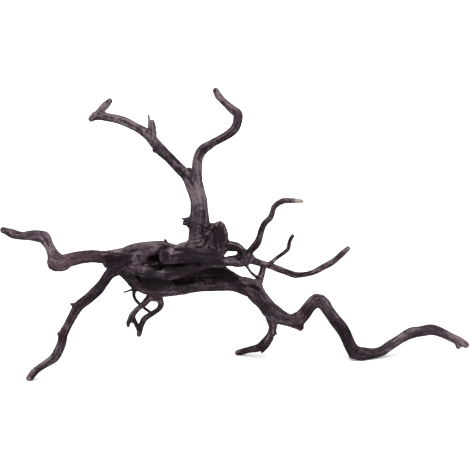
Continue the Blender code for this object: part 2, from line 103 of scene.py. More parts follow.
# Each limb runs from its root, sunk in the wood it grows from, out to its tip.
# A point is: across from the left tip, up from the lowest toe, back, radius.
LIMBS = {
    "left_arm": [
        (134, 124, -8, 9.5), (118, 124.9, -12, 6), (104, 123.4, -16, 6), (92, 123.5, -19, 6.3),
        (80, 122.7, -21, 6.4), (70, 120.4, -21, 6.3), (62, 117.7, -19, 6.8), (55.8, 120.5, -14, 6.8),
        (52.3, 127.8, -8, 5.3), (48.7, 135.1, -2, 4.8), (43.9, 142, 4, 6), (38, 144, 10, 5.7),
        (30, 144.4, 15, 4.7), (22, 144.4, 19, 3.8), (14, 145.8, 24, 4.2), (7, 148.5, 28, 3.4),
        (3.3, 149.9, 30.3, 3),
    ],
    "left_arm_elbow": [(63, 116.8, -18, 7.5), (57.4, 117.3, -14, 8.9), (55.9, 118.2, -12, 8)],
    "arm_web": [(121, 116.5, -12, 6), (110.5, 115.3, -15, 5), (106.4, 116.4, -17, 3.3)],
    "left_leg": [
        (124, 114, -12, 8.3), (111.2, 107.6, -22, 5.4), (104.7, 99.3, -29, 4.9), (97.9, 90.1, -35, 5.4),
        (88.4, 81.5, -41, 4.6), (78.5, 73.5, -46, 4.6), (72.9, 64.3, -49, 4.2), (68, 55, -51, 3.9),
        (63.5, 46.1, -53, 4.4), (61.8, 37, -54, 4.2), (58.4, 28.8, -55, 4.5), (53.9, 21.8, -56, 4.3),
        (46.7, 16.8, -57, 3.5), (39.6, 12.2, -58, 3.2), (33.9, 7.3, -59, 3.4), (29.8, 1.6, -59.8, 3.1),
    ],
    "left_leg_thorn": [(75, 74.5, -47, 2.4), (71.2, 76, -50, 0.9)],
    "left_leg_bump": [(62, 46, -54, 3.2), (59.6, 46, -55.5, 2.3)],
    "shoulder": [
        (119, 121.5, -6, 7.6), (128, 123.5, -6, 9.4), (138, 125.6, -6, 11.1), (150, 126.1, -4, 11.9),
        (162, 126.3, -3, 12.4), (174, 123.8, -4, 11.5), (188, 124, -6, 12.5), (202, 126, -8, 13),
    ],
    "shoulder_thorn": [(167, 135, -4, 2.4), (165, 140.4, -5, 0.9)],
    "core": [
        (122, 114, 0, 6), (136, 112, 0, 9), (150, 111.5, 0, 10), (165, 111, 0, 10), (182, 111, 2, 9),
        (200, 112, 3, 9), (216, 112, 0, 8),
    ],
    "trunk": [
        (208, 123, -9, 11.5), (203, 134, -11, 12), (199.4, 148, -13, 10.2), (199.8, 160, -13, 9.2),
        (199.1, 170, -12, 8.7), (198.8, 180, -11, 8.2), (195.7, 190, -10, 8.1), (193.3, 198, -9, 8.2),
        (190.8, 205, -8, 6.4),
    ],
    "trunk_heel": [(200.6, 143.5, -11, 9.8), (192.8, 135.8, -9, 5.5), (182.6, 132.6, -6, 4.6)],
    "fork_web": [(191, 203, -9, 6), (188.8, 208.6, -8, 3.8)],
    "trunk_snag": [(194.5, 158, -16, 7.6), (188.5, 157.7, -19, 4.5), (185, 158, -20, 2.2)],
    "trunk_snag_upper_thorn": [(188, 159.5, -19, 2.8), (182.3, 161.2, -21, 0.8)],
    "trunk_snag_lower_thorn": [(188, 156.8, -19, 2.8), (183.4, 155.6, -21, 0.8)],
    "right_antler": [
        (195.8, 190, -12, 6.3), (196.9, 200, -14, 5.3), (196.9, 210, -16, 5.3), (197.6, 220, -18, 4.9),
        (200.3, 226.7, -20, 4.9), (204.2, 231.4, -21, 4.6), (212, 236.3, -23, 3.9),
        (220.8, 241.2, -24, 3.7), (229.6, 246.5, -25, 4.1), (235.8, 252.9, -24, 4.1),
        (238, 261.8, -20, 4.3), (237.4, 266.2, -16, 4.4), (231.6, 271, -10, 3.9), (224.2, 277.8, -2, 3.2),
        (218.5, 284, 5, 3.2), (215.7, 289.4, 10, 2.6),
    ],
    "left_antler": [
        (192.8, 196, -6, 6.8), (186.5, 204.8, -3, 5.8), (180, 211, 1, 5), (169.9, 221.6, 6, 4.9),
        (160.5, 230, 10, 5.6), (154.9, 236.6, 13, 5.2), (150, 243.3, 16, 4.9), (144.2, 247.7, 19, 4.4),
        (134.8, 253.2, 22, 3.7), (125, 258.3, 24, 4), (115, 261.4, 24, 3.9), (107, 263, 22, 3.9),
        (100, 264.4, 19, 4.1), (95.3, 264.1, 15, 4), (91.2, 261, 11.5, 2.7),
    ],
    "left_antler_bump": [(159, 233, 11, 4.5), (154.8, 229.6, 12.5, 2.3)],
    "left_antler_tip": [
        (98, 264.5, 18, 3.8), (101.4, 270.3, 22, 3.4), (106, 274.9, 27, 3.4), (109.9, 279.2, 31, 2.4),
    ],
    "antler_stub": [(151.8, 247, 17, 4.2), (152.7, 254.5, 14, 2.5), (151.8, 259.5, 12, 1.7)],
    "antler_splinter": [(150, 250, 15.5, 2.6), (149.3, 258, 13, 1.1), (148.6, 264.3, 12, 0.8)],
    "flange": [
        (213, 121, -12, 8.5), (214.8, 129, -14, 9.7), (218, 140, -15, 9.8), (219, 149, -14, 7.9),
        (220, 154.3, -13, 4.4),
    ],
    "flange_lip": [(208, 148, -16, 7.4), (211.6, 152, -18, 4.7), (212.4, 155.8, -19, 2.9)],
    "front_stub": [
        (220, 121, -20, 9), (206, 123.4, -25, 8.6), (192, 124.4, -29, 7.4), (180, 124.4, -32, 7.2),
        (171, 124, -34.5, 7.6), (165, 123.6, -36.5, 7.7),
    ],
    "cheek": [(134, 120.5, -11, 7.4), (140, 121, -13, 8.2), (145, 122, -12, 7.6)],
    "band": [
        (120, 113, -14, 6), (132, 112, -20, 6.5), (145, 108.5, -26, 5.8), (160, 106, -29, 4.7),
        (175, 105.7, -31, 4.8), (190, 110.8, -31, 4.6), (205, 115.4, -28, 4.2), (218, 117.8, -25, 4.6),
        (230, 119.2, -22, 5.1), (238.5, 119.4, -19, 5.8), (245.6, 120, -16, 5.4),
    ],
    "belly": [
        (119, 114.5, -5, 6.8), (129.2, 107.7, -6, 8.8), (141, 100.9, -8, 12.5), (154, 98, -10, 13.5),
        (168, 96, -11, 11.5), (180, 96, -8, 8.5),
    ],
    "lower_root": [
        (150, 97, -14, 12), (165, 94.6, -19, 11), (180, 93.2, -21, 7.8), (195, 94.1, -21, 5.9),
        (210, 94.5, -20, 5.5), (222, 95.1, -18, 5.8), (233, 95.6, -15, 6.8), (243, 94.1, -12, 8.4),
        (252.9, 90.9, -9, 8.9), (259.5, 82.4, -6, 8), (266.1, 74.6, -3, 7.6), (273, 67.1, 0, 8.2),
        (281.2, 62.2, 2, 7.2), (290, 59.7, 4, 5.7), (298.4, 61.3, 6, 7.1), (304.7, 66.9, 8, 6.5),
        (309.6, 73.6, 10, 5.9), (316.4, 79.2, 12, 6.6), (323.4, 76.6, 13, 6.1), (329.1, 68.9, 14, 5.8),
        (335.1, 60.1, 15, 5.8), (341.9, 51.2, 17, 6.4), (346.7, 41.9, 18, 5.9), (351, 33.1, 19, 5.8),
        (355.3, 27.7, 20, 5.9), (362.6, 26.2, 22, 5.9), (372, 26.5, 26, 4.9), (382, 29.2, 31, 4.6),
        (390.8, 35.2, 36, 4.4), (400, 41, 40, 4.4), (410.3, 46.7, 43, 5.1), (420, 48.5, 45, 5),
        (431, 50.4, 46, 5.1), (440, 48, 45, 4.6), (450, 43.3, 42, 4), (459, 39.2, 39, 4.1),
        (465.8, 35.4, 36.5, 3),
    ],
    "lower_root_heel": [(296, 60, 6, 6.7), (300.2, 52.7, 6.5, 3.4)],
    "heel_web": [(284, 59.2, 3, 4.1), (292, 56.6, 5, 3.9), (300, 52.2, 6.5, 2.3)],
    "right_bend_corner": [(355, 28, 20, 5), (352, 24.8, 20, 3.3)],
    "right_bend_toe": [(362, 25, 21, 4.5), (362, 20.9, 20.5, 2.7)],
    "right_tip_stub": [(457, 38.5, 39, 3), (458.3, 33.1, 38, 2.1)],
    "cavity_wall": [
        (172, 99, 0, 8), (190, 103.5, 4, 9), (205, 106, 6, 9.3), (219, 106.4, 5, 8.7),
        (228.5, 103, 1, 6.9), (238.5, 97.9, -4, 6.3), (250, 92, -8, 7),
    ],
    "cavity_floor": [
        (172, 96, -8, 7), (188, 96.5, -8, 6), (205, 97, -8, 6), (221, 97, -8, 6), (236, 95, -8, 6),
    ],
    "right_leg": [
        (271.5, 66, 2, 6.5), (272.7, 56, 10, 4.6), (272.3, 50, 16, 3.7), (270.1, 44.5, 21, 3.5),
        (266.1, 39.3, 26, 3.8), (258.8, 32.6, 32, 3.6), (250.5, 30.6, 37, 2.9), (243.5, 28.7, 41, 2.9),
        (238, 27, 44, 2.8),
    ],
    "right_leg_bump": [(272.4, 48.5, 17, 3), (275, 46.8, 18, 1.8)],
    "right_leg_splinter": [(271, 42, 22, 2.4), (267, 33.5, 28, 1.5), (262, 28, 32, 1)],
    "hoop": [
        (219, 132, -19, 6), (226, 134, -21, 5.1), (231, 133.7, -20, 5), (238, 131.8, -17, 4.6),
        (242.8, 126.8, -15, 4.8), (245.5, 119.5, -14, 5),
    ],
    "knot": [(243, 120.5, -16, 5.5), (246.4, 121.3, -14, 5.6), (250.2, 122, -12, 4)],
    "reach_branch": [
        (246.5, 122, -14, 5.5), (250, 128.6, -18, 3.4), (256.4, 135.9, -23, 3.3), (259.6, 143, -27, 2.7),
        (261.5, 150, -31, 2.7), (264.7, 156.8, -35, 2.7), (270.1, 162.3, -38, 2.6),
        (272.5, 168.3, -41, 2.3), (274, 172.7, -43, 2.4), (278, 176.5, -45, 2.4), (283.5, 179, -46, 2.5),
        (290, 179.3, -47, 2.2), (296, 179.1, -47, 2), (301.8, 178.8, -47, 1.6),
    ],
    "curved_branch": [
        (248, 122, -12, 5), (255, 118.6, -6, 3.3), (262, 116.3, 0, 3), (270, 114.3, 6, 2.9),
        (278, 111, 12, 2.9), (286, 108.2, 17, 2.9), (294, 105.4, 21, 3.1), (300.3, 105.1, 24, 2.5),
        (308, 106.2, 26, 2.4), (315, 108.6, 27, 2.6), (323, 112.7, 27, 2.8), (331, 117.1, 25, 2.8),
        (337, 121.5, 23, 2.6), (342.2, 126.4, 20, 2.7), (347.9, 131.5, 17, 2.1),
    ],
    "side_twig": [
        (268.5, 114.8, 5, 2.6), (273.6, 119.5, 2, 1.7), (278.6, 123.5, -2, 1.7), (285, 128, -7, 1.7),
        (288.3, 131.8, -11, 1.8), (289.1, 136.3, -14, 1.6), (290.4, 140.4, -17, 1.5),
        (292.7, 144.2, -20, 1.5),
    ],
    "strut": [
        (263.4, 115.2, 2, 2.4), (262.5, 109, 0, 2.7), (260.9, 104, -2, 3.1), (259.2, 99, -4, 3.5),
        (255.6, 94.2, -7, 5.8),
    ],
    "thread": [
        (245, 117, -17, 1.8), (248.8, 110.6, -16, 1), (252.1, 106.5, -13, 1.1), (257.6, 102.2, -6, 1.4),
    ],
    "rootlet_base": [(152.5, 90.5, -12, 5.3), (155.1, 83.4, -13, 4.8), (157.6, 82.3, -13, 3.9)],
    "rootlet_left": [
        (154, 86.4, -13, 3.3), (148.6, 81.4, -15, 3.1), (144.4, 76.8, -17, 2.9), (140.7, 73.8, -18, 2.4),
        (136.5, 70, -19, 2.4), (132.4, 65, -20, 2.6), (130.4, 60.5, -20, 2.4), (128.3, 57, -20, 1.7),
        (128.3, 54, -20, 1.1),
    ],
    "rootlet_bridge": [
        (132.5, 62, -20, 2.4), (135.2, 57.5, -20, 1.8), (137.4, 53.5, -19, 1.9), (139.2, 50, -18, 2.1),
    ],
    "rootlet_right": [
        (157, 86, -12, 4.5), (160.2, 80, -12, 3), (160.9, 75, -13, 2.9), (159.3, 71.6, -14, 2.4),
        (155.5, 68.5, -15, 2.3), (149.8, 64.9, -16, 2.4), (144.7, 61.3, -17, 2.6), (142.2, 57, -17, 2.4),
        (140.3, 52, -18, 2.4), (139.1, 45.8, -18, 2.2),
    ],
    "rootlet_back": [
        (135.4, 92, -8, 2.4), (133.8, 86, -6, 1.4), (135.2, 81, -6, 1.3), (138.8, 76.8, -7, 1.3),
        (144.1, 72.2, -9, 1.2), (151, 67.4, -14, 1.2),
    ],
    "rootlet_hair": [(135.5, 91.4, -9, 1.6), (129, 89.3, -12, 0.8), (124, 87.7, -15, 0.7)],
}

# Limbs that end in a broken face, and which way that face looks (nothing: straight ahead)
BROKEN_FACES = {"front_stub": (-0.78, -0.62, 0.0), "antler_stub": None, "flange_lip": None}

# Hollows rotted into the wood: how many times deeper than high each one is, and its
# line as points of across, up, back, radius
HOLLOWS = {
    "knot_hole": (3.4, [(150.6, 119.9, -22, 3.3), (153.4, 120, -21, 4), (157, 120.4, -20, 4.5)]),
    "belly_hollow": (2, [
        (172.5, 99, -24, 1.6), (177, 98.6, -22, 3.2), (184, 99.2, -20, 4.3), (190, 100.8, -19, 4.7),
        (196, 103, -18, 4.5), (205, 105.7, -17, 4.9), (216, 106, -16, 6), (227, 105, -15, 6.6),
        (234, 101.5, -14, 3.6),
    ]),
    "under_stub_slot": (3.2, [
        (153.4, 111.6, -22, 1.7), (155.8, 111.8, -22, 2.3), (162, 112.8, -23, 2.7),
        (170, 113.6, -25, 2.2), (179, 114.8, -26, 1.6), (190, 116.4, -27, 1.3), (199, 116.6, -28, 1.9),
    ]),
    "arm_recess": (1.3, [(108, 121.8, -24, 3), (118, 120.3, -24, 4.6), (127, 120.4, -23, 4.2)]),
    "heel_slit": (2, [(250.4, 94.8, -20, 0.9), (255, 92.8, -19, 1.4), (259.2, 90.4, -17, 1.2)]),
    "over_stub_slot": (4, [
        (163, 133.2, -24, 2.2), (167, 132.6, -27, 1.4), (176, 131.8, -27, 1.1), (187, 132.2, -25, 0.9),
    ]),
    "hoop_gap": (6, [
        (223.8, 124.8, -18, 1.6), (226.4, 125.8, -18, 1.9), (229.8, 126.6, -18, 2),
        (236, 126.8, -18, 1.6),
    ]),
    "belly_dish": (0.5, [(147, 99.5, -26, 7.5), (155, 98, -28, 8.8), (165, 97.4, -30, 6.5)]),
}

# Long marks on the front of the wood: how deep they cut (below zero they stand out),
# half their width, how much they darken, how far back they reach, and their line. The darkening is
# painted shade in the creases, gaps, slots, splits and troughs and under the band and hoop; below zero it
# is a painted highlight on lit edges, ridges, rims, blocks and the flange's glint; on the blotches,
# chips, spots and streaks it is the wood's own colour
MARKS = {
    "ledge": (-0.9, 1.2, 0, -6, [(128.5, 112.8), (134, 112.2), (141, 111.3)]),
    "ledge_twig": (-0.9, 0.9, -0.6, -6, [(122.5, 110.4), (125.6, 113.2), (129.8, 116)]),
    "stub_gap": (1.4, 2.6, 3, 2, [(157.2, 127), (159.2, 130), (162.4, 132.2), (166, 133)]),
    "arm_crease": (0.7, 1, 0.9, 30, [(40.5, 147.6), (44.6, 142), (48.6, 135)]),
    "arm_ridge": (-0.5, 1, -0.7, 30, [(30, 141.5), (38, 144.5), (42.6, 140.6)]),
    "ledge_crack": (2.4, 1.2, 1.8, -6, [(131.4, 118.6), (128.6, 117), (126, 115)]),
    "ledge_shade": (0.3, 1.6, 1.1, -6, [(130, 115.6), (127, 114.6)]),
    "cheek_gap": (2, 1.6, 1.1, -2, [(129.6, 127.6), (133, 129.2), (136, 130.6)]),
    "recess_top": (0.8, 1, 0.9, -6, [(108, 126.4), (114, 126.6), (121, 125.8), (128, 127)]),
    "recess_deep": (0.5, 3.2, 0.8, -6, [(121, 122), (126.6, 122.6)]),
    "recess_streak": (-0.3, 0.95, -0.7, -6, [(117.6, 123.6), (121, 123.4)]),
    "cheek_groove": (0.7, 1.6, 0.2, -10, [(140.5, 121.5), (139.8, 118.5)]),
    "hole_ledge": (-1, 1.2, -2.6, -8, [(145.6, 115.2), (150, 114.9), (154, 115.4), (157.2, 116)]),
    "over_the_stub": (0.6, 0.95, 1, -10, [(180, 131.6), (186, 132.3), (191, 132.6)]),
    "stub_face_rim": (-0.5, 0.95, -0.2, -30, [
        (163, 130), (161.2, 127), (160.8, 122), (162, 118.4), (165, 116.8), (168.6, 118),
    ]),
    "stub_streak": (1, 1.1, 2.2, -20, [(176, 131.3), (180.4, 131.5), (183.4, 130.6)]),
    "stub_streak_second": (0.9, 1, 1.8, -20, [(175.6, 129.5), (182.6, 129.7)]),
    "stub_lit": (-0.2, 1, -0.8, -20, [(176, 127.9), (183, 127.7)]),
    "stub_lit_low": (-0.2, 1, -0.8, -20, [(184.6, 121.4), (191, 121.4)]),
    "stub_dash": (0.9, 0.95, 1.5, -20, [(177, 125.6), (179.8, 125.4)]),
    "stub_dash_second": (0.8, 0.95, 1.2, -20, [(182, 125.6), (184, 125.3)]),
    "stub_dash_third": (0.9, 1.3, 1.4, -20, [(186.6, 125.9), (189.6, 125.6)]),
    "stub_nick": (1, 0.95, 1.7, -20, [(172.8, 124.4), (175.4, 124.3)]),
    "stub_nick_down": (0.5, 0.95, 1.1, -20, [(172.5, 124), (172.4, 119.6)]),
    "stub_strip": (-0.3, 2, -1.5, -20, [(171.4, 131.4), (171.6, 126.6)]),
    "stub_knot": (0.9, 0.95, 1.5, -20, [(191.2, 123.2), (191.4, 122)]),
    "stub_foot": (0.3, 0.95, 0.8, -20, [(175, 119.6), (185, 119.5), (196, 119.6)]),
    "band_trough": (1, 2.7, 1.5, -18, [
        (167, 104.4), (173, 106.2), (179, 108.6), (184, 110.8), (191, 112.8), (199, 115),
    ]),
    "band_edge": (-1, 1.2, -1, -18, [
        (165, 98.6), (169, 101.2), (175, 102.4), (181, 104.6), (187, 107.2), (193, 109.6), (199, 111.6),
        (205, 113.2), (213, 113.8), (223, 113.8),
    ]),
    "band_ridge": (-0.7, 1.2, -0.9, -18, [
        (158, 108.4), (163, 109.2), (168, 110.6), (174, 111.6), (181, 112),
    ]),
    "slot_floor": (1.4, 2.2, 2, -10, [(155.4, 111.6), (161, 112)]),
    "slot_floor_right": (0.9, 2, 2.3, -10, [(161, 112.4), (167, 113.4), (174, 114.4), (181, 115)]),
    "band_middle": (0.3, 2.4, 1.5, -18, [(200, 116), (206, 116.6), (214, 117), (223, 117.6)]),
    "belly_fold": (2, 1.6, 0.6, -6, [(136, 108.2), (137.4, 104), (139.2, 100.6), (142, 98.4)]),
    "belly_fold_low": (0.8, 1.4, 0.6, -6, [(142, 98.4), (143, 94), (142, 90)]),
    "under_band": (0.8, 1.6, 0.5, -8, [(137, 108), (144, 106), (152, 105), (160, 103.4), (168, 102)]),
    "lip_block_1": (-0.9, 2.2, 0.1, -12, [(200, 96.8), (202, 96.6)]),
    "lip_block_2": (-0.9, 2, -0.6, -12, [(217, 97), (221, 96.8)]),
    "lip_block_3": (-0.7, 1.8, -0.5, -12, [(226.5, 96.3), (229, 96)]),
    "lip_block_4": (-0.7, 1.8, -0.3, -12, [(201, 96.8), (203, 94.6)]),
    "lip_notch_1": (0.9, 0.95, 1.3, -12, [(213, 99.4), (216.2, 97)]),
    "lip_notch_3": (0.7, 0.95, 1, -12, [(205.4, 98), (205.8, 94.4)]),
    "lip_notch_2": (0.9, 0.95, 1.4, -12, [(192.8, 98.4), (192.5, 94.6)]),
    "lip_slant": (0.8, 1, 1, -12, [(208, 98.6), (211, 95.6)]),
    "cavity_post": (-0.6, 0.95, -1, 2, [(196.7, 104), (197, 99.6)]),
    "heel_notch": (1.8, 1.7, 1.1, -6, [(240.5, 95.4), (246, 93.4)]),
    "heel_notch_right": (1.4, 1.8, 0.6, -4, [(250.6, 94.4), (256, 92), (260.4, 89.6)]),
    "heel_light": (-0.5, 1.8, -0.3, -6, [(241.5, 98), (247, 96.4)]),
    "heel_streak": (0.5, 1.2, 1, -6, [(233, 97.6), (240, 92.8), (247, 86.5), (252, 79)]),
    "heel_streak_low": (0.4, 1, 0.9, -4, [(254, 86), (259, 79), (263, 71)]),
    "knot_split": (2.2, 1.6, 2.3, -12, [(236.6, 123.4), (239, 120.6), (241.4, 122.4), (240.8, 127.2)]),
    "knot_lit": (-0.4, 1, -0.8, -10, [(246, 126), (246.6, 119)]),
    "hoop_root": (1.2, 1.1, 1.5, -12, [(228, 139), (226.8, 136), (225.4, 132)]),
    "hoop_shade": (0.4, 2.4, 2.2, 6, [(228, 132), (232, 132.2), (236, 130.6)]),
    "hoop_rim": (-0.3, 1, -1.9, -10, [(229, 137), (233.6, 136), (238, 134.8), (243, 131.4)]),
    "bar_top": (0.8, 0.95, 1.3, -18, [(217, 120.4), (221, 121.8), (226, 123.2), (234, 123.6)]),
    "flange_seam": (1.4, 1.2, 1, -14, [(212, 149.6), (214.4, 147), (214.8, 141), (213.4, 134)]),
    "flange_lump_left": (-1.3, 1.6, 0.2, -16, [(212, 154.6), (212.8, 152)]),
    "flange_lump_right": (-1.2, 1.5, 0.2, -16, [(216.6, 155.4), (216.8, 151.6)]),
    "flange_lump_seam": (1.4, 0.95, 0.8, -16, [(215, 156.6), (215.4, 151)]),
    "flange_scratch": (0.8, 0.95, 1, -16, [(217.2, 154), (217.6, 150)]),
    "flange_top_lit": (-0.2, 0.95, -0.9, -16, [(217, 157), (219, 156.8)]),
    "flange_side": (-0.2, 1.3, -0.7, -8, [(224.6, 152), (226, 146), (226.6, 140)]),
    "flange_glint": (-0.2, 0.95, -2, -16, [(216.2, 155.2), (216.4, 153.8)]),
    "foot_fold": (0.6, 0.95, 1, -14, [
        (207, 141), (206.6, 137.6), (204.6, 135), (200.6, 133), (197, 132.6),
    ]),
    "foot_ridge": (-0.5, 0.95, -0.6, -14, [(203.7, 141.4), (204, 138.4), (202, 135.8), (198, 134.4)]),
    "foot_fold_inner": (0.5, 0.95, 0.7, -14, [(201.7, 141), (201.4, 138.6), (199.2, 136.8), (195, 136)]),
    "foot_ridge_inner": (-0.3, 0.95, -0.4, -14, [(199.4, 140.6), (198.4, 138.8), (194, 138)]),
    "foot_fold_upper": (0.3, 0.95, 0.5, -14, [(191.6, 140), (197.6, 140.6), (202, 142.2)]),
    "foot_fold_top": (0.3, 1.1, 0.5, -14, [(193, 149), (197, 149.2), (200.4, 148)]),
    "base_crease": (0.7, 0.95, 1.1, -14, [(198, 132.4), (202, 132.4), (206, 133.2)]),
    "base_ring": (0.7, 1, 1.2, -14, [
        (214.4, 138), (216.6, 134), (217, 129), (216, 124.6), (213.4, 121.6),
    ]),
    "base_ring_outer": (0.6, 1, 1, -14, [(218.6, 138), (220.6, 134), (221, 128), (220, 124)]),
    "base_ring_lit": (-0.4, 1, -0.3, -14, [(216.6, 138.4), (218.8, 134), (219.2, 128.6), (218, 124)]),
    "base_swirl": (0.8, 1, 1.4, -14, [(208.2, 132.6), (211, 130.2), (214.6, 128.8)]),
    "base_swirl_lit": (-0.5, 1.2, -0.7, -14, [(200, 129.6), (206, 129.4), (211, 127)]),
    "base_sweep": (0.5, 1, 0.8, -14, [(199, 124.6), (206, 125), (212, 126)]),
    "base_sweep_low": (0.4, 1, 0.7, -14, [(197, 120.6), (204, 121.4), (211, 120.4)]),
    "down_groove": (0.7, 1.7, 0.9, 30, [(331, 66), (338, 53), (345, 38), (350, 27)]),
    "fork_crease": (1.3, 1.5, 0.5, -4, [(187.5, 212.5), (191.5, 209), (193.4, 203)]),
    "fork_sweep": (0.4, 2, 1.1, -2, [(177, 212.6), (184, 206), (189.6, 199.6), (192.6, 195)]),
    "fork_sweep_lit": (-0.3, 1, -0.7, -2, [(180, 215.4), (186, 209.4), (191, 204)]),
    "fork_blotch": (0.5, 1.8, 0.8, -8, [(190, 205), (191, 198)]),
    "fork_blotch_low": (0.4, 1.6, 0.7, -8, [(188.6, 194), (190, 190)]),
    "antler_blotch": (0.3, 1.6, 0.8, -16, [(203, 232), (206, 229)]),
    "trunk_blotch": (0.2, 1.5, 0.4, -18, [(204.4, 170), (204.8, 163)]),
    "trunk_chip": (-0.3, 0.95, -3, -16, [(200.7, 171.8), (201.4, 171.4)]),
    "knot_eye_spot": (1, 1.2, 1.3, -18, [(212.2, 129.4), (214.6, 128.8)]),
}

# Round grain about old knots: centre on the front elevation, outer radius, ring width,
# height of the rings, and how far back they reach
EYES = {
    "foot_eye": ((211.6, 131.6), 9, 4, 0.15, -18),
    "foot_knot": ((195.6, 144), 7, 3.2, 0.12, -14),
    "elbow_eye": ((57, 117), 10, 3.6, 0.08, -8),
}

# Single pits in the bark: centre on the front elevation, and radius
PITS = (
    (201.5, 154, 1.3), (203.5, 152.4, 1.2), (206.5, 151.4, 1.6), (208.5, 154, 1.3), (209.2, 150.4, 1.2),
    (202.6, 148.5, 1.4), (206.5, 148.7, 1.2), (200.6, 146.5, 1.2), (199.6, 151.4, 1.1), (203, 145, 1.2),
    (204.4, 141.8, 1.4), (207.6, 143.4, 1.2), (206, 139, 1.2), (208.6, 132.4, 1.2), (219.8, 156.4, 1.1),
    (138.9, 123.8, 1.5), (139.6, 120.6, 1.1), (137.2, 124.6, 0.8), (143, 114.8, 1.4), (138.4, 103.4, 1.4),
    (140.6, 100.4, 1.4), (139, 97.6, 1.2), (132.6, 92.6, 1.1),
)
PIT_DEPTH = 1.2
PITS_FURTHEST_BACK = -8

# Where the bark is pitted: centre on the front elevation, how far back, and radius
PITTED = {
    "belly_end": ((133, 101), -4, 7.5),
    "foot": ((205.5, 149.5), -12, 6.5),
    "recess": ((117, 119), -6, 8),
    "crotch": ((119, 107), -6, 6),
    "snag": ((186, 158), -12, 5),
    "cavity_end": ((229, 108), -2, 5),
}

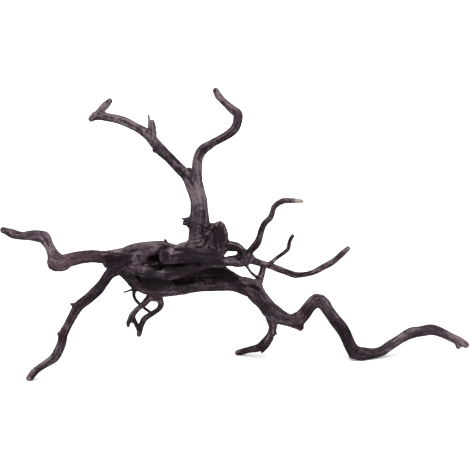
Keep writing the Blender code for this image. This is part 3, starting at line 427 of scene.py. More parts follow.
# Paler and darker ground on the wood, partly its own tone and partly painted light and shade: across, up,
# back, radius, and how much paler
# Painted shade in and about the knot hole, under the ledge and band, and in the belly, hoop and flange;
# painted light on the trunk's lit swath, the shoulder's top and the right fork's foot
PAINTED_LIGHT_AND_TONE = {
    "trunk_swath": (198, 186, -22, 14, 1.1), "trunk_low": (202, 166, -22, 8, -0.8),
    "trunk_foot_right": (206, 150, -25, 6, -0.3), "snag": (185, 158, -20, 6, -1),
    "saddle": (180, 135, -8, 8, 0.6), "shoulder": (140, 124, -14, 20, -0.6),
    "shoulder_top": (145, 135, -10, 13, 0.5), "shoulder_left": (117, 129, -14, 8, 1.2),
    "cheek": (137, 121, -22, 7, 0.3), "recess": (116, 117, -18, 11, -1.4),
    "shoulder_low": (119, 127.4, -16, 5, 0.6), "hole_shade": (157, 120.6, -20, 6, -1.4),
    "stub_face": (164.6, 123.5, -38, 5.2, -1.8), "stub_body": (188, 124, -36, 13, -0.9),
    "stub_top": (187, 130, -38, 7, -1.5), "base_front": (209, 124, -34, 12, -1.05),
    "base_end": (219, 121.6, -34, 4.5, -1.8), "band": (190, 109.6, -35, 15, -2.3),
    "band_top": (169, 109.4, -36, 6, 1.1), "band_left": (151, 107, -32, 7, -0.7),
    "band_start": (148, 109.6, -30, 4, -0.9), "belly_top": (151, 108, -30, 6, -1),
    "bar": (229, 119.5, -26, 7, 0.1), "knot": (243, 119, -20, 7, -0.9),
    "knot_top": (242.4, 130, -19, 4, -1), "hoop": (233.4, 132.4, -25, 8, -2.1),
    "belly": (153, 98, -22, 11, -1.6), "belly_right": (180, 95, -26, 13, -0.7),
    "lip_start": (186, 89, -24, 5, 0.9), "under_band": (167, 103.4, -30, 6, -1.5),
    "belly_light": (165, 95, -28, 5, 0.6), "under_ledge": (138, 107, -26, 6, -1.8),
    "belly_left": (130, 101, -12, 10, -1.3), "cavity": (205, 105, -10, 13, 0.5),
    "cavity_left": (182, 99.5, -22, 7.5, -0.5), "cavity_right": (230, 111, -15, 5, -1.3),
    "lip": (212, 94, -26, 12, -1.2), "lip_end": (235, 98, -22, 8, -2),
    "flange": (221, 143.6, -25, 7.2, -2.1), "flange_top": (220, 153, -22, 4.5, -1),
    "flange_lip": (211, 154, -24, 3, -0.5), "flange_low": (220, 137, -26, 6, -0.7),
    "flange_right": (226, 133, -24, 5, 1.5), "flange_seam": (209.6, 144, -28, 6, 1.7),
    "left_leg_crotch": (112, 108, -24, 11, -0.8), "left_leg": (95, 88, -36, 17, -2.1),
    "left_leg_low": (68, 52, -53, 20, -1.1), "left_toe": (54, 20, -62, 7, 0.7),
    "left_leg_knee": (80, 70, -50, 7, -1.2), "down_limb": (345, 46, 12, 14, -1.7),
    "right_low_bend": (351, 29, 14, 7, -1), "right_rise": (378, 26, 22, 9, -0.8),
    "rise": (308.5, 69, 3, 6, -1.6), "right_far_top": (432, 47, 40, 12, -0.4),
    "apex": (318, 83, 6, 7, -0.8), "apex_side": (322, 74, 4, 14, -0.5), "bend": (292, 60, -2, 10, -0.5),
    "root_heel": (264, 72, -10, 10, -1), "heel_dark": (253, 94, -20, 4, -0.9),
    "heel_low": (254, 84, -13, 6, -1.1), "leg_dark": (260, 33, 27, 8, -1.3),
    "leg_light": (271, 46, 18, 5, 1), "leg_end": (244, 28, 38, 9, -1),
    "right_bend": (362, 26, 18, 14, -0.7), "right_end": (458, 42, 38, 12, 1),
    "left_fork": (165, 226, 4, 16, -0.7), "left_fork_swell": (151, 254.6, 13, 5, 1.3),
    "left_hook": (114, 263, 21, 22, 0.9), "right_fork": (204, 232, -24, 7, -0.3),
    "right_fork_foot": (198, 216, -19, 8, 1.7), "right_hook": (236, 256, -28, 9, -0.9),
    "right_hook_foot": (220, 245, -27, 6, -0.7), "right_tip": (218, 288, 6, 9, 0.4),
    "curved_mid": (305, 106, 24, 20, -0.3), "curved_end": (336, 121.6, 22, 5, 0.9),
    "curved_tip": (344, 129, 24, 8, -0.8), "reach": (261, 146, -32, 18, -0.9),
    "reach_foot": (253, 135, -24, 6, -1), "root_fork": (252.6, 124, -15, 5, 1.7),
    "curved_start": (261, 119, -8, 4, -1), "before_the_cut": (291, 179.5, -48, 4.2, -2.2),
    "curved_root": (260, 116, -4, 9, -0.7), "foot_low": (200, 137, -24, 6, 0.6),
    "foot_root": (190, 137, -19, 6.5, 1.9), "stub_low": (187, 120.5, -38, 6, 1),
    "side_twig": (283, 127, -7, 9, -0.6), "side_twig_end": (291, 139, -17, 9, -1.4),
    "left_elbow": (49, 136, -8, 8, 1.2), "arm": (80, 122, -20, 11, -1.1),
    "arm_end": (22, 142, 18, 6, -0.9), "rootlets": (145, 70, -17, 20, -0.35),
    "rootlets_low": (140, 56, -17, 11, -1.5),
}

# Smooth ground, with little grain: across, up, back, radius, share
SMOOTH = {
    "belly": (153, 97, -22, 13, 0.45), "flange": (220.5, 143, -25, 6.5, 0.9),
    "cavity": (205, 105, -8, 11, 0.6), "cavity_right": (223, 106, -4, 13, 1),
    "band": (190, 112, -35, 9, 0.6), "stub_face": (165, 123.5, -40, 5, 0.7),
    "hoop": (233, 134, -24, 7, 0.4), "trunk": (198, 178, -20, 18, 0.35), "bar": (229, 119.5, -26, 7, 0.5),
    "hole": (152, 120, -22, 7, 0.8), "foot": (196, 147, -22, 9, 0.7), "arm_end": (33, 143, 8, 18, 0.5),
    "shoulder": (144, 133, -14, 14, 0.45), "far_root": (425, 45, 38, 42, 0.55),
    "left_elbow": (60, 125, -14, 18, 0.3),
}

# Redder ground, where the dark rind has worn off: across, up, back, radius, share
WORN = {
    "left_arm": (75, 121, -24, 24, 0.9), "left_arm_tip": (14, 146, 22, 14, 0.7),
    "rootlet_bases": (150, 88, -20, 10, 0.9), "flange_top": (214, 153.4, -23, 3.6, 2.3),
    "flange_edge": (217.4, 153.6, -24, 2.4, 2), "right_root": (290, 62, 0, 22, 0.3),
    "left_leg": (78, 70, -50, 34, 0.8), "lip": (205, 96, -26, 12, 0.3),
    "heel_notch": (250, 92, -20, 6, 0.6),
}

# The reaching branch was cut here: above this height, the wood further across is pale,
# and it turns pale within this much to either side
CUT_FROM = 295.0
CUT_ABOVE = 172.0
CUT_FADES_IN = 0.8

# Noise drawn out along the grain: how long its waves are, how wide, and its seed. Each
# limb lies this far along it from the one before.
SWELLS = (22, 9, 1)
RIDGES = (14, 2.6, 2)
FIBRES = (9, 1.5, 3)
PATCHES = (26, 6, 5)
SPLITS = (20, 3.4, 7)
STREAKS = (16, 2.2, 9)
GRAIN_APART = 57.0

# Noise that is even in all directions: how wide its waves are, and its seed
LUMPS = (9, 4)
PORES = (1.9, 6)
SPECKS = (1.7, 8)

# How noise is drawn: whole numbers that stir a cell's place into a number of 16 bits,
# and how far the smoothed draws are spread again
STIR_STEPS = (374761393, 668265263, 69069)
STIR_SEED_STEP = 97531
STIR_ROUNDS = ((13, 1274126177), (15, 2246822519))
STIR_LAST = 16
LOW_32_BITS = 0xFFFFFFFF
LOW_16_BITS = 0xFFFF
NOISE_SPREAD = 1.6

# Radii of a thin and a thick limb, and the grain's relief: how high or deep it is on a
# thin limb, and how much more on a thick one
THIN_TO_THICK = (1.5, 7.0)
RIDGE_HEIGHT = (0.10, 0.22)
FIBRE_HEIGHT = (0.05, 0.10)
LUMP_HEIGHT = (0.0, 0.35)
SPLIT_DEPTH = (0.15, 0.45)
SWELL_PER_RADIUS = 0.05
SPECK_DEPTH = 0.06

# Where the wood has split: how wide splits are, and on which patches and lumps they show
SPLIT_WIDTH = 0.14
SPLIT_ON_LUMPS = 0.6
SPLIT_FROM_TO = (0.15, 0.6)

# How much paler the grain makes the wood: ridges, fibres, patches, lumps, splits, specks
GRAIN_PALER = (0.35, 0.35, 0.3, 0.2, -0.7, 0.35)

# How smooth ground lowers the relief and quiets the grain, and how thin limbs enliven it
SMOOTH_LOWERS = 0.7
SMOOTH_QUIETS = 0.8
THIN_LIVELIER = 0.75

# What else makes the wood paler or darker: painted light where it faces up, painted shade where it faces
# to the side, a little darker all over, and painted shade near a hollow
UPWARD_PAINTED_LIGHT = 0.45
SIDE_PAINTED_SHADE = 0.15
SIDE_FROM_TO = (0.2, 0.8)
ALL_DARKER = 0.09
HOLLOW_PAINTED_SHADE = 1.2
HOLLOW_RIM = 1.5

# Where marks, eyes, pits and pitted ground fade out, as shares of their width or radius
MARK_EDGE = (0.15, 1.25)
EYE_EDGE = (0.5, 1.0)
PIT_EDGE = (0.3, 1.4)
PITTED_EDGE = (0.6, 1.2)

# How marks and eyes follow the grain, and what eyes, pits and pitted ground do; pits and pores are
# darkened with painted shade
MARK_WANDERS = 0.3
MARK_FACING = -0.2
EYE_FLATNESS = 1.5
EYE_ON_LUMPS = 2.4
EYE_ON_FIBRES = 0.6
EYE_ON_RIDGES = 0.6
EYE_PALER = 3.0
PIT_PAINTED_SHADE = 2.3
PORES_FROM_TO = (0.1, 0.6)
PORE_DEPTH = 1.1
PORE_PAINTED_SHADE = 1.3
PITTED_PALER = 0.15

# Colours of the wood, in linear light; the darkest rind is also the colour of painted shade, and the two
# blooms are also the colours of painted light
DARK_RIND_AND_SHADE = (0.0062, 0.0030, 0.0053)
RIND = (0.0243, 0.0150, 0.0208)
BLOOM_AND_LIGHT = (0.101, 0.0765, 0.0885)
WARM_BROWN = (0.041, 0.0235, 0.0290)
WARM_BLOOM_AND_LIGHT = (0.101, 0.0680, 0.0785)
CUT_WOOD = (0.180, 0.157, 0.147)

# How rough the wood is, how much rougher where it is mottled pale, and its low sheen
ROUGHNESS = 0.68
MOTTLE_ROUGHER = 0.25
SHEEN = 0.1

# How pale the wood has to be to leave the darkest rind and its painted shade, and to be covered with
# bloom and painted light
OUT_OF_THE_DARK = (-1.6, -0.1)
INTO_BLOOM_AND_LIGHT = (-0.35, 1.3)

# How much the finest grain shows in paleness, in warmth, and in the light that plays on it
NOISE_MIDDLE = 0.5
FIBRE_PALER = 2.9
MOTTLE_PALER = 0.7
SPECK_PALER = 1.6
WORN_WARMER = 0.9
STREAK_WARMER = 0.2
MOTTLE_WARMER = 0.8
FIBRE_BUMP = 0.6
MOTTLE_BUMP = 0.3
SPECK_BUMP = 0.4
BUMP_STRENGTH = 0.35
BUMP_DISTANCE = 0.0005

# The stage: the floor, light from all round, and the suns' strength, width and turn (in
# degrees)
FLOOR_HALF = 60.0
FLOOR_COLOUR = (0.86, 0.86, 0.86)
FLOOR_ROUGHNESS = 0.9
WHITE = (1.0, 1.0, 1.0)
SKY_STRENGTH = 0.87
SUNS = {"key_light": (4.1, 60, (34, -8, -6)), "fill_light": (1.0, 70, (70, 0, 35))}

# The camera: a lens for a distant view, and how near and far it sees
LENS = 135.0
SENSOR_WIDTH = 36.0
NEAREST_SEEN = 0.05
FURTHEST_SEEN = 200.0


def on_sight_line(across, up, back):
    """The place of a point of the front elevation, and how much larger things are there."""
    right = across - SIGHT_ACROSS
    above = up - SIGHT_UP
    sine, cosine = math.sin(EYE_TILT), math.cos(EYE_TILT)
    beyond = (back - above * sine) / (cosine + above * sine / EYE_DISTANCE)
    spread = 1 + beyond / EYE_DISTANCE
    height = SIGHT_HEIGHT + above * spread * cosine - beyond * sine
    place = Vector((right * spread - CENTRE_ACROSS, back - CENTRE_BACK, height))
    return place, spread


def on_elevation(places):
    """Where places of the root show on the front elevation: across, up, and their back."""
    sine, cosine = math.sin(EYE_TILT), math.cos(EYE_TILT)
    back = places[:, 1] + CENTRE_BACK
    height = places[:, 2] - SIGHT_HEIGHT
    beyond = back * cosine - height * sine
    above = back * sine + height * cosine
    spread = 1 + beyond / EYE_DISTANCE
    across = SIGHT_ACROSS + (places[:, 0] + CENTRE_ACROSS) / spread
    return across, SIGHT_UP + above / spread, back


def through(before, start, end, after, t):
    """A point or number at t on the Catmull-Rom curve from start to end."""
    return (
        start
        + (end - before) * (t / 2)
        + (before * 2 - start * 5 + end * 4 - after) * (t * t / 2)
        + (start * 3 - end * 3 + after - before) * (t**3 / 2)
    )


class Limb:
    """A limb's line: its points, radii, cross directions and lengths along it."""

    def __init__(self, rows, blunt=False, face=None, stretch=1.0):
        self.blunt = blunt
        self.stretch = np.array((1.0, stretch, 1.0))
        knots = []
        for across, up, back, radius in rows:
            place, spread = on_sight_line(across, up, back)
            knots.append((place, radius * spread))
        points, radii = [], []
        for i in range(len(knots) - 1):
            before = knots[max(i - 1, 0)]
            start, end = knots[i], knots[i + 1]
            after = knots[min(i + 2, len(knots) - 1)]
            step = max(RING_STEP, RING_STEP_PER_RADIUS * min(start[1], end[1]))
            count = max(1, round((end[0] - start[0]).length / step))
            for k in range(count):
                t = k / count
                points.append(through(before[0], start[0], end[0], after[0], t))
                radii.append(through(before[1], start[1], end[1], after[1], t))
        points.append(knots[-1][0])
        radii.append(knots[-1][1])
        self.carry_frames(points)
        self.points = np.array(points)
        self.radii = np.array(radii)
        self.face = np.array(face) if face else self.aheads[-1]
        steps = np.linalg.norm(np.diff(self.points, axis=0), axis=1)
        self.lengths = np.concatenate(([0.0], np.cumsum(steps)))

    def carry_frames(self, points):
        """Two cross directions and the way ahead at each point, carried along without twist."""
        sides, crosses, aheads = [], [], []
        side = None
        for i in range(len(points)):
            ahead = points[min(i + 1, len(points) - 1)] - points[max(i - 1, 0)]
            ahead.normalize()
            if side is None:
                side = ahead.orthogonal()
            side = (side - ahead * side.dot(ahead)).normalized()
            sides.append(side)
            crosses.append(ahead.cross(side))
            aheads.append(ahead)
        self.sides = np.array(sides)
        self.crosses = np.array(crosses)
        self.aheads = np.array(aheads)

    def ring(self, i, share=1.0, reach=0.0):
        """A round section at a station, or past it by a reach in radii."""
        radius = self.radii[i] + SPARE_RADIUS
        centre = self.points[i] + self.aheads[i] * radius * reach
        turns = np.arange(SIDES) * (2 * math.pi / SIDES)
        out = np.outer(np.cos(turns), self.sides[i]) + np.outer(np.sin(turns), self.crosses[i])
        return centre + out * radius * share * self.stretch

    def rings(self):
        """The sections of the closed shell, from the root to past the tip."""
        last = len(self.points) - 1
        tip = BLUNT_TIP if self.blunt else ROUND_TIP
        return [self.ring(i) for i in range(last + 1)] + [self.ring(last, *past) for past in tip]

    def measure(self, places):
        """For the places near the limb: their numbers, their gap to it, and the facts
        of the limb there: the way out, the radius, and the length along and offsets across."""
        span = self.radii[:, None] * self.stretch + NEAR_A_LIMB
        low = (self.points - span).min(0)
        high = (self.points + span).max(0)
        near = np.flatnonzero(np.all((places > low) & (places < high), axis=1))
        spots = places[near]
        best = np.full(len(near), np.inf)
        found = np.zeros((len(near), FACTS))
        for i in range(len(self.points) - 1):
            step = self.points[i + 1] - self.points[i]
            length = np.linalg.norm(step)
            at = (spots - self.points[i]) @ step / length**2
            open_end = self.blunt and i == len(self.points) - 2
            t = np.clip(at, 0, None if open_end else 1)
            out = (spots - self.points[i] - t[:, None] * step) / self.stretch
            away = np.linalg.norm(out, axis=1) + TINY
            radius = self.radii[i] + np.minimum(t, 1) * (self.radii[i + 1] - self.radii[i])
            gap = away - radius
            closer = gap < best
            best[closer] = gap[closer]
            side = self.sides[i] + np.minimum(t, 1)[:, None] * (self.sides[i + 1] - self.sides[i])
            cross = np.cross(self.aheads[i], side)
            row = np.column_stack((
                out / away[:, None],
                radius,
                self.lengths[i] + t * length,
                (out * side).sum(1),
                (out * cross).sum(1),
            ))
            found[closer] = row[closer]
        if self.blunt:
            past_face = (spots - self.points[-1]) @ self.face
            best = np.maximum(best, np.maximum(past_face, -FACE_REACH))
        return near, best, found


class Lie:
    """How the skin lies on the limbs: each place's nearest limb and the next one."""

    def __init__(self, limbs, places):
        count = len(places)
        self.gap = np.full(count, FAR_AWAY)
        self.next_gap = np.full(count, FAR_AWAY)
        self.facts = np.zeros((count, FACTS))
        self.next_facts = np.zeros((count, FACTS))
        for number, limb in enumerate(limbs):
            near, gap, found = limb.measure(places)
            found[:, ALONG] += number * GRAIN_APART
            first = gap < self.gap[near]
            second = ~first & (gap < self.next_gap[near])
            moved = near[first]
            self.next_gap[moved] = self.gap[moved]
            self.next_facts[moved] = self.facts[moved]
            self.gap[moved] = gap[first]
            self.facts[moved] = found[first]
            self.next_gap[near[second]] = gap[second]
            self.next_facts[near[second]] = found[second]
        self.radius = self.facts[:, RADIUS]

    def skin_gap(self):
        """How far each place lies outside the wood, with fillets in the crotches, and
        with the little that easing takes off put back on."""
        slimmer = np.minimum(self.facts[:, RADIUS], self.next_facts[:, RADIUS])
        fillet = np.clip(FILLET_PER_RADIUS * slimmer, LEAST_FILLET, FILLET)
        closeness = np.clip(1 - (self.next_gap - self.gap) / fillet, 0, 1)
        facing = (self.facts[:, OUT] * self.next_facts[:, OUT]).sum(1)
        return self.gap - fillet / 4 * closeness**2 * (1 - facing**2) - EASED_OFF

    def share(self):
        """How far each place belongs to its nearest limb: 0.5 at the seam, 1 away from it."""
        return 0.5 + 0.5 * step_up(self.next_gap - self.gap, 0, FILLET)

    def grain_noise(self, along, across, seed):
        """Noise drawn out along the limbs, with no seam from one limb to the next."""
        scale = np.array((1 / along, 1 / across, 1 / across))
        here = smooth_noise(self.facts[:, GRAIN] * scale, seed)
        there = smooth_noise(self.next_facts[:, GRAIN] * scale, seed)
        share = self.share()
        return (here * share + there * (1 - share)) / np.sqrt(share**2 + (1 - share) ** 2)


def lattice(cells, seed):
    """A fixed draw from -1 to 1 for each whole-numbered cell."""
    mixed = seed * STIR_SEED_STEP + sum(cells[:, axis] * step for axis, step in enumerate(STIR_STEPS))
    for shift, factor in STIR_ROUNDS:
        mixed = ((mixed ^ (mixed >> shift)) * factor) & LOW_32_BITS
    return ((mixed ^ (mixed >> STIR_LAST)) & LOW_16_BITS) / (LOW_16_BITS / 2) - 1


def smooth_noise(spots, seed):
    """Smooth noise from about -1 to 1, one cell across per unit."""
    floor = np.floor(spots)
    cells = floor.astype(np.int64)
    part = spots - floor
    part = part * part * (3 - 2 * part)
    total = np.zeros(len(spots))
    for corner in np.ndindex(2, 2, 2):
        weight = np.ones(len(spots))
        for axis, side in enumerate(corner):
            weight *= part[:, axis] if side else 1 - part[:, axis]
        total += weight * lattice(cells + np.array(corner), seed)
    return total * NOISE_SPREAD


def even_noise(places, width, seed):
    """Smooth noise with waves this wide in all directions."""
    return smooth_noise(places / width, seed)


def near_line(across, up, line):
    """Distance on the front elevation from a line through points."""
    best = np.full(len(across), np.inf)
    for (x0, y0), (x1, y1) in zip(line, line[1:]):
        run, rise = x1 - x0, y1 - y0
        t = ((across - x0) * run + (up - y0) * rise) / (run * run + rise * rise)
        t = np.clip(t, 0, 1)
        best = np.minimum(best, np.hypot(across - x0 - t * run, up - y0 - t * rise))
    return best


def step_up(value, low, high):
    """0 below low, 1 above high, and smooth between."""
    t = np.clip((value - low) / (high - low), 0, 1)
    return t * t * (3 - 2 * t)


def fade_out(away, size, edge):
    """1 about a thing's middle, and down to 0 between two shares of its size."""
    return 1 - step_up(away, edge[0] * size, edge[1] * size)


def placed(name, data):
    """An object of the scene that shows the data."""
    thing = bpy.data.objects.new(name, data)
    bpy.context.scene.collection.objects.link(thing)
    return thing


def mesh_of(bm, name):
    """A mesh with the faces of a bmesh, which is then let go."""
    mesh = bpy.data.meshes.new(name)
    bm.to_mesh(mesh)
    bm.free()
    return mesh


def add_shell(bm, limb):
    """A limb as a closed shell, cut off flat where it is broken."""
    loops = [[bm.verts.new(point * MM) for point in ring] for ring in limb.rings()]
    faces = [bm.faces.new(list(reversed(loops[0]))), bm.faces.new(loops[-1])]
    for near, far in zip(loops, loops[1:]):
        for k in range(SIDES):
            following = (k + 1) % SIDES
            faces.append(bm.faces.new((near[k], near[following], far[following], far[k])))
    if limb.blunt:
        shell = {part for face in faces for part in (face, *face.edges, *face.verts)}
        end = limb.points[-1] * MM
        cut = bmesh.ops.bisect_plane(
            bm, geom=list(shell), plane_co=end, plane_no=limb.face, clear_outer=True
        )
        rim = [part for part in cut["geom_cut"] if isinstance(part, bmesh.types.BMEdge)]
        bmesh.ops.holes_fill(bm, edges=rim)


def add_shells(name, limbs):
    """An object of closed shells, with their faces turned out."""
    bm = bmesh.new()
    for limb in limbs:
        add_shell(bm, limb)
    bmesh.ops.recalc_face_normals(bm, faces=bm.faces)
    return placed(name, mesh_of(bm, name))


def settled_mesh(thing, name):
    """The mesh an object's modifiers give it."""
    seen = thing.evaluated_get(bpy.context.evaluated_depsgraph_get())
    mesh = bpy.data.meshes.new_from_object(seen)
    mesh.name = name
    return mesh


def rough_skin(limbs, hollows):
    """One skin round all limbs, with the hollows cut into it."""
    shells = add_shells("limb_shells", limbs)
    cutter = add_shells("hollow_shells", hollows)
    cutter.modifiers.new("one_hollow", "REMESH").voxel_size = ROUGH_VOXEL * MM
    shells.modifiers.new("one_body", "REMESH").voxel_size = ROUGH_VOXEL * MM
    rot = shells.modifiers.new("hollows", "BOOLEAN")
    rot.operation = "DIFFERENCE"
    rot.object = cutter
    shells.modifiers.new("even_skin", "REMESH").voxel_size = SKIN_VOXEL * MM
    mesh = settled_mesh(shells, "root_skin")
    bpy.data.objects.remove(shells)
    bpy.data.objects.remove(cutter)
    return mesh


def read(layer, field):
    """One row of three numbers for each thing in a mesh's layer."""
    flat = np.empty(len(layer) * 3)
    layer.foreach_get(field, flat)
    return flat.reshape(-1, 3)


def write(mesh, places):
    """Moves a mesh's points, given in millimetres."""
    mesh.vertices.foreach_set("co", (places * MM).ravel())
    mesh.update()


class Web:
    """The edges of a mesh, for easing places towards their neighbours."""

    def __init__(self, mesh):
        pairs = np.empty(len(mesh.edges) * 2, dtype=np.int32)
        mesh.edges.foreach_get("vertices", pairs)
        pairs = pairs.reshape(-1, 2)
        self.count = len(mesh.vertices)
        self.heads = np.concatenate((pairs[:, 0], pairs[:, 1]))
        self.tails = np.concatenate((pairs[:, 1], pairs[:, 0]))
        self.degree = np.maximum(np.bincount(self.heads, minlength=self.count), 1)

    def mean(self, values):
        """The mean of each point's neighbours."""
        total = np.bincount(self.heads, weights=values[self.tails], minlength=self.count)
        return total / self.degree

    def ease(self, places, rounds):
        """Places moved part of the way to the mean of their neighbours."""
        for _ in range(rounds):
            mean = np.column_stack([self.mean(places[:, axis]) for axis in range(3)])
            places = places + (mean - places) * EASING
        return places


def hollow_gap(hollows, places):
    """How far each place lies outside the nearest hollow."""
    gap = np.full(len(places), FAR_AWAY)
    for hollow in hollows:
        near, outside, _ = hollow.measure(places)
        gap[near] = np.minimum(gap[near], outside)
    return gap


def ground_share(places, grounds):
    """The sum of soft round grounds, each fading with distance from its centre."""
    total = np.zeros(len(places))
    for across, up, back, radius, strength in grounds.values():
        centre, _ = on_sight_line(across, up, back)
        away = np.linalg.norm(places - np.array(centre), axis=1)
        total += strength * np.exp(-((away / radius) ** 2))
    return total


def relief(lie, places, outward, near_hollow):
    """The height of the wood's own relief, how pale it is with painted light and shade, and how lively
    its grain is.
    """
    thick = step_up(lie.radius, *THIN_TO_THICK)
    swells, ridges, fibres = (lie.grain_noise(*kind) for kind in (SWELLS, RIDGES, FIBRES))
    patches = lie.grain_noise(*PATCHES)
    lumps, specks, pores = (even_noise(places, *kind) for kind in (LUMPS, SPECKS, PORES))
    split = np.clip(1 - np.abs(lie.grain_noise(*SPLITS)) / SPLIT_WIDTH, 0, 1)
    split *= step_up(patches + SPLIT_ON_LUMPS * lumps, *SPLIT_FROM_TO)
    ridge_height, fibre_height, lump_height, split_depth = (
        thin + more * thick for thin, more in (RIDGE_HEIGHT, FIBRE_HEIGHT, LUMP_HEIGHT, SPLIT_DEPTH)
    )
    height = lie.radius * SWELL_PER_RADIUS * swells + ridge_height * ridges
    height += fibre_height * fibres + lump_height * lumps
    height -= split_depth * split + SPECK_DEPTH * np.abs(specks)
    calm = np.clip(ground_share(places, SMOOTH), 0, 1)
    height *= 1 - SMOOTH_LOWERS * calm
    lively = (1 + THIN_LIVELIER * (1 - thick)) * (1 - SMOOTH_QUIETS * calm)
    kinds = (ridges, fibres, patches, lumps, split, specks)
    pale = sum(share * kind for share, kind in zip(GRAIN_PALER, kinds)) * lively
    facing = -outward[:, 1]
    # Painted shade where the skin faces to the side, which darkens the outline seen from the front
    pale -= SIDE_PAINTED_SHADE * (1 - step_up(np.abs(facing), *SIDE_FROM_TO))

    across, up, back = on_elevation(places)
    # Marks cut into the wood, darkened with painted shade in creases, gaps and slots, and lightened with
    # a painted highlight on lit edges and rims
    for depth, width, dark, furthest, line in MARKS.values():
        off = near_line(across, up, line) + MARK_WANDERS * width * ridges
        cut = fade_out(off, width, MARK_EDGE) * (back < furthest) * (facing > MARK_FACING)
        height -= depth * cut
        pale -= dark * cut
    for (x, y), radius, ring, rise, furthest in EYES.values():
        ground = fade_out(np.hypot(across - x, up - y), radius, EYE_EDGE)
        ground *= (back < furthest) * (facing > 0)
        away = np.hypot(across - x, EYE_FLATNESS * (up - y)) + EYE_ON_LUMPS * lumps
        rings = np.cos((away + EYE_ON_FIBRES * fibres) * (2 * math.pi / ring))
        height += (rise * rings - EYE_ON_RIDGES * rise * ridges) * ground
        pale += EYE_PALER * rise * rings * ground
    # Pits cut in, with painted shade inside each
    for x, y, radius in PITS:
        cut = fade_out(np.hypot(across - x, up - y), radius, PIT_EDGE)
        cut *= (back < PITS_FURTHEST_BACK) * (facing > 0)
        height -= PIT_DEPTH * cut
        pale -= PIT_PAINTED_SHADE * cut
    pores = step_up(pores, *PORES_FROM_TO)
    # Pores of pitted ground cut in, with painted shade inside them
    for (x, y), furthest, radius in PITTED.values():
        ground = fade_out(np.hypot(across - x, up - y), radius, PITTED_EDGE) * (back < furthest)
        height -= PORE_DEPTH * ground * pores
        pale -= PORE_PAINTED_SHADE * ground * pores - PITTED_PALER * ground
    # Painted shade on the skin near the hollows
    pale -= HOLLOW_PAINTED_SHADE * (1 - step_up(near_hollow, 0.0, HOLLOW_RIM))
    return height, pale, lively


def add_values(mesh, name, kind, values):
    """Values for each point of a mesh, for the wood's material to read."""
    layer = mesh.attributes.new(name, kind, "POINT")
    layer.data.foreach_set("vector" if kind == "FLOAT_VECTOR" else "value", values.ravel())


def make_skin():
    """The root's finished skin, with the values its material reads."""
    limbs = [Limb(rows, name in BROKEN_FACES, BROKEN_FACES.get(name)) for name, rows in LIMBS.items()]
    hollows = [Limb(rows, stretch=stretch) for stretch, rows in HOLLOWS.values()]
    mesh = rough_skin(limbs, hollows)
    web = Web(mesh)
    places = web.ease(read(mesh.vertices, "co") / MM, FIRST_EASING_ROUNDS)
    write(mesh, places)
    for _ in range(SETTLING_ROUNDS):
        gap = np.maximum(Lie(limbs, places).skin_gap(), -hollow_gap(hollows, places))
        move = np.clip(gap, -SETTLING_LIMIT, SETTLING_LIMIT)
        outward = read(mesh.vertex_normals, "vector")
        places = web.ease(places - outward * move[:, None], 1)
        write(mesh, places)
    lie = Lie(limbs, places)
    outward = read(mesh.vertex_normals, "vector")
    height, pale, lively = relief(lie, places, outward, hollow_gap(hollows, places))
    places = places + outward * height[:, None]
    places[:, 2] = np.maximum(places[:, 2], 0)
    write(mesh, places)
    # Painted light where the skin faces up, and the patches of the wood's tone, painted light and painted
    # shade
    pale += ground_share(places, PAINTED_LIGHT_AND_TONE) + UPWARD_PAINTED_LIGHT * outward[:, 2] - ALL_DARKER
    across, up, _ = on_elevation(places)
    past_cut = np.where(up > CUT_ABOVE, across - CUT_FROM, -CUT_FADES_IN)
    add_values(mesh, "pale", "FLOAT", pale)
    add_values(mesh, "lively", "FLOAT", lively)
    add_values(mesh, "worn", "FLOAT", ground_share(places, WORN))
    add_values(mesh, "streak", "FLOAT", lie.grain_noise(*STREAKS))
    add_values(mesh, "past_cut", "FLOAT", past_cut)
    add_values(mesh, "grain", "FLOAT_VECTOR", lie.facts[:, GRAIN])
    return mesh


def thinned(mesh):
    """The skin as an object, with fewer faces where it is smooth."""
    skin = placed("root_skin", mesh)
    mesh.calc_loop_triangles()
    thin = skin.modifiers.new("thin", "DECIMATE")
    thin.ratio = min(1.0, SKIN_TRIANGLES / len(mesh.loop_triangles))
    done = settled_mesh(skin, "root_skin_thinned")
    skin.modifiers.clear()
    skin.data = done
    bpy.data.meshes.remove(mesh)
    done.shade_smooth()
    return skin


class Socket:
    """A node's output, with arithmetic that adds the nodes it needs."""

    def __init__(self, tree, link):
        self.tree = tree
        self.link = link

    def math(self, operation, other):
        """A Math node on this value and another."""
        return self.tree.node("ShaderNodeMath", {"operation": operation}, {0: self, 1: other})

    def __add__(self, other):
        return self.math("ADD", other)

    def __sub__(self, other):
        return self.math("SUBTRACT", other)

    def __mul__(self, other):
        return self.math("MULTIPLY", other)

    def __rsub__(self, other):
        return (self * -1) + other

    __radd__ = __add__
    __rmul__ = __mul__


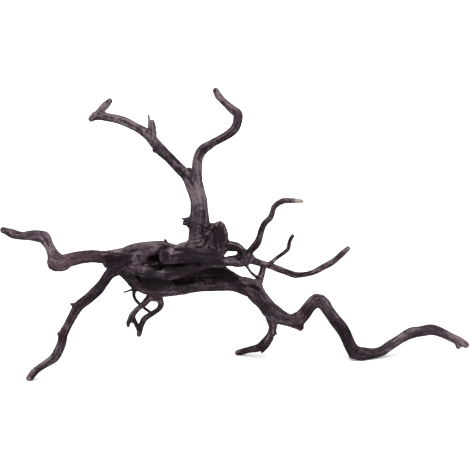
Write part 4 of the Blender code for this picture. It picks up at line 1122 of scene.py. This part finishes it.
class Tree:
    """A material's nodes."""

    def __init__(self, name):
        self.material = bpy.data.materials.new(name)
        self.material.use_nodes = True
        self.nodes = self.material.node_tree.nodes
        self.links = self.material.node_tree.links

    def node(self, kind, settings=None, values=None, output=0):
        """A node of a kind, with its settings, and values or links for its sockets."""
        made = self.nodes.new(kind)
        for key, value in (settings or {}).items():
            setattr(made, key, value)
        self.feed(made, values or {})
        return Socket(self, made.outputs[output])

    def feed(self, node, values):
        """Values or links for a node's sockets."""
        for key, value in values.items():
            if isinstance(value, Socket):
                self.links.new(value.link, node.inputs[key])
            else:
                node.inputs[key].default_value = value

    def finished(self, values):
        """The material, with values or links for the surface that it ends in."""
        self.feed(self.nodes["Principled BSDF"], values)
        return self.material

    def attribute(self, name, output="Fac"):
        """A value that the skin holds at each point."""
        return self.node("ShaderNodeAttribute", {"attribute_name": name}, output=output)

    def mix(self, share, one, other):
        """One colour going over to another. A Mix node's colours are its sockets 6 and 7, and
        its output 2."""
        settings = {"data_type": "RGBA", "clamp_factor": True}
        return self.node("ShaderNodeMix", settings, {0: share, 6: one, 7: other}, output=2)

    def noise(self, vector, scale, detail):
        """Noise from about 0 to 1."""
        values = {"Vector": vector, "Scale": scale, "Detail": detail}
        return self.node("ShaderNodeTexNoise", values=values)

    def shrunk_along(self, grain, share):
        """The place in the grain with its length along the limb shrunk, which draws noise out."""
        values = {0: grain, 1: (share, 1.0, 1.0)}
        return self.node("ShaderNodeVectorMath", {"operation": "MULTIPLY"}, values)

    def rise(self, value, low, high, kind="SMOOTHSTEP"):
        """0 below low, 1 above high, and between them as the kind says."""
        values = {"Value": value, "From Min": low, "From Max": high}
        return self.node("ShaderNodeMapRange", {"interpolation_type": kind}, values)


def opaque(colour):
    """A colour with full alpha."""
    return (*colour, 1.0)


def wood_material():
    """Dry root wood: a dark purple-brown rind with a grey bloom, fine grain and pores, and light and
    shade painted into its colour.
    """
    tree = Tree("weathered_root_wood")
    grain = tree.attribute("grain", "Vector")
    place = tree.node("ShaderNodeTexCoord", output="Object")
    fibres = tree.noise(tree.shrunk_along(grain, 0.12), scale=0.6, detail=3.0)
    mottle = tree.noise(place, scale=240.0, detail=3.0)
    specks = tree.noise(tree.shrunk_along(grain, 0.4), scale=0.75, detail=2.0)
    variation = (fibres - NOISE_MIDDLE) * FIBRE_PALER + (mottle - NOISE_MIDDLE) * MOTTLE_PALER
    variation = variation + (specks - NOISE_MIDDLE) * SPECK_PALER
    pale = tree.attribute("pale") + variation * tree.attribute("lively")
    warmth = tree.attribute("worn") * WORN_WARMER + tree.attribute("streak") * STREAK_WARMER
    warmth = warmth + (mottle - NOISE_MIDDLE) * MOTTLE_WARMER
    # The pale value carries painted light and shade as well as the wood's tone: low, it takes the rind to
    # the darkest rind as painted shade; high, to the bloom as painted light
    rind = tree.mix(warmth, opaque(RIND), opaque(WARM_BROWN))
    rind = tree.mix(tree.rise(pale, *OUT_OF_THE_DARK), opaque(DARK_RIND_AND_SHADE), rind)
    pale_wood = tree.mix(warmth, opaque(BLOOM_AND_LIGHT), opaque(WARM_BLOOM_AND_LIGHT))
    colour = tree.mix(tree.rise(pale, *INTO_BLOOM_AND_LIGHT), rind, pale_wood)
    cut = tree.rise(tree.attribute("past_cut"), -CUT_FADES_IN, CUT_FADES_IN, "LINEAR")
    height = fibres * FIBRE_BUMP + mottle * MOTTLE_BUMP + specks * SPECK_BUMP
    bump = {"Strength": BUMP_STRENGTH, "Distance": BUMP_DISTANCE, "Height": height}
    return tree.finished({
        "Base Color": tree.mix(cut, colour, opaque(CUT_WOOD)),
        "Roughness": mottle * MOTTLE_ROUGHER + ROUGHNESS,
        "Normal": tree.node("ShaderNodeBump", values=bump),
        "Specular IOR Level": SHEEN,
    })


def make_floor():
    """A plain pale floor, wide enough that its edge isn't seen."""
    bm = bmesh.new()
    bmesh.ops.create_grid(bm, x_segments=1, y_segments=1, size=FLOOR_HALF)
    floor = placed("floor", mesh_of(bm, "floor"))
    floor.data.materials.append(Tree("pale_floor").finished({
        "Base Color": opaque(FLOOR_COLOUR),
        "Roughness": FLOOR_ROUGHNESS,
        "Specular IOR Level": SHEEN,
    }))


def make_light():
    """Plain soft light from all round, and two wide suns."""
    world = bpy.data.worlds.new("soft_studio")
    world.use_nodes = True
    sky = world.node_tree.nodes["Background"].inputs
    sky["Color"].default_value = opaque(WHITE)
    sky["Strength"].default_value = SKY_STRENGTH
    bpy.context.scene.world = world
    for name, (strength, width, turn) in SUNS.items():
        light = bpy.data.lights.new(name, "SUN")
        light.energy = strength
        light.angle = math.radians(width)
        placed(name, light).rotation_euler = [math.radians(value) for value in turn]


def make_camera():
    """The camera at the photograph's angle, and a plain view of the colours it sees."""
    lens = bpy.data.cameras.new("front_camera")
    lens.lens = LENS
    lens.sensor_width = SENSOR_WIDTH
    lens.clip_start = NEAREST_SEEN
    lens.clip_end = FURTHEST_SEEN
    camera = placed("front_camera", lens)
    target = Vector((-CENTRE_ACROSS, -CENTRE_BACK, SIGHT_HEIGHT)) * MM
    ahead = Vector((0, math.cos(EYE_TILT), -math.sin(EYE_TILT)))
    camera.location = target - ahead * EYE_DISTANCE * MM
    camera.rotation_euler = ahead.to_track_quat("-Z", "Y").to_euler()
    bpy.context.scene.camera = camera
    bpy.context.scene.view_settings.view_transform = "Standard"


def main():
    make_floor()
    make_light()
    make_camera()
    skin = thinned(make_skin())
    skin.data.materials.clear()
    skin.data.materials.append(wood_material())
    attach(skin, "root")
    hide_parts("spiderwood_root")


main()
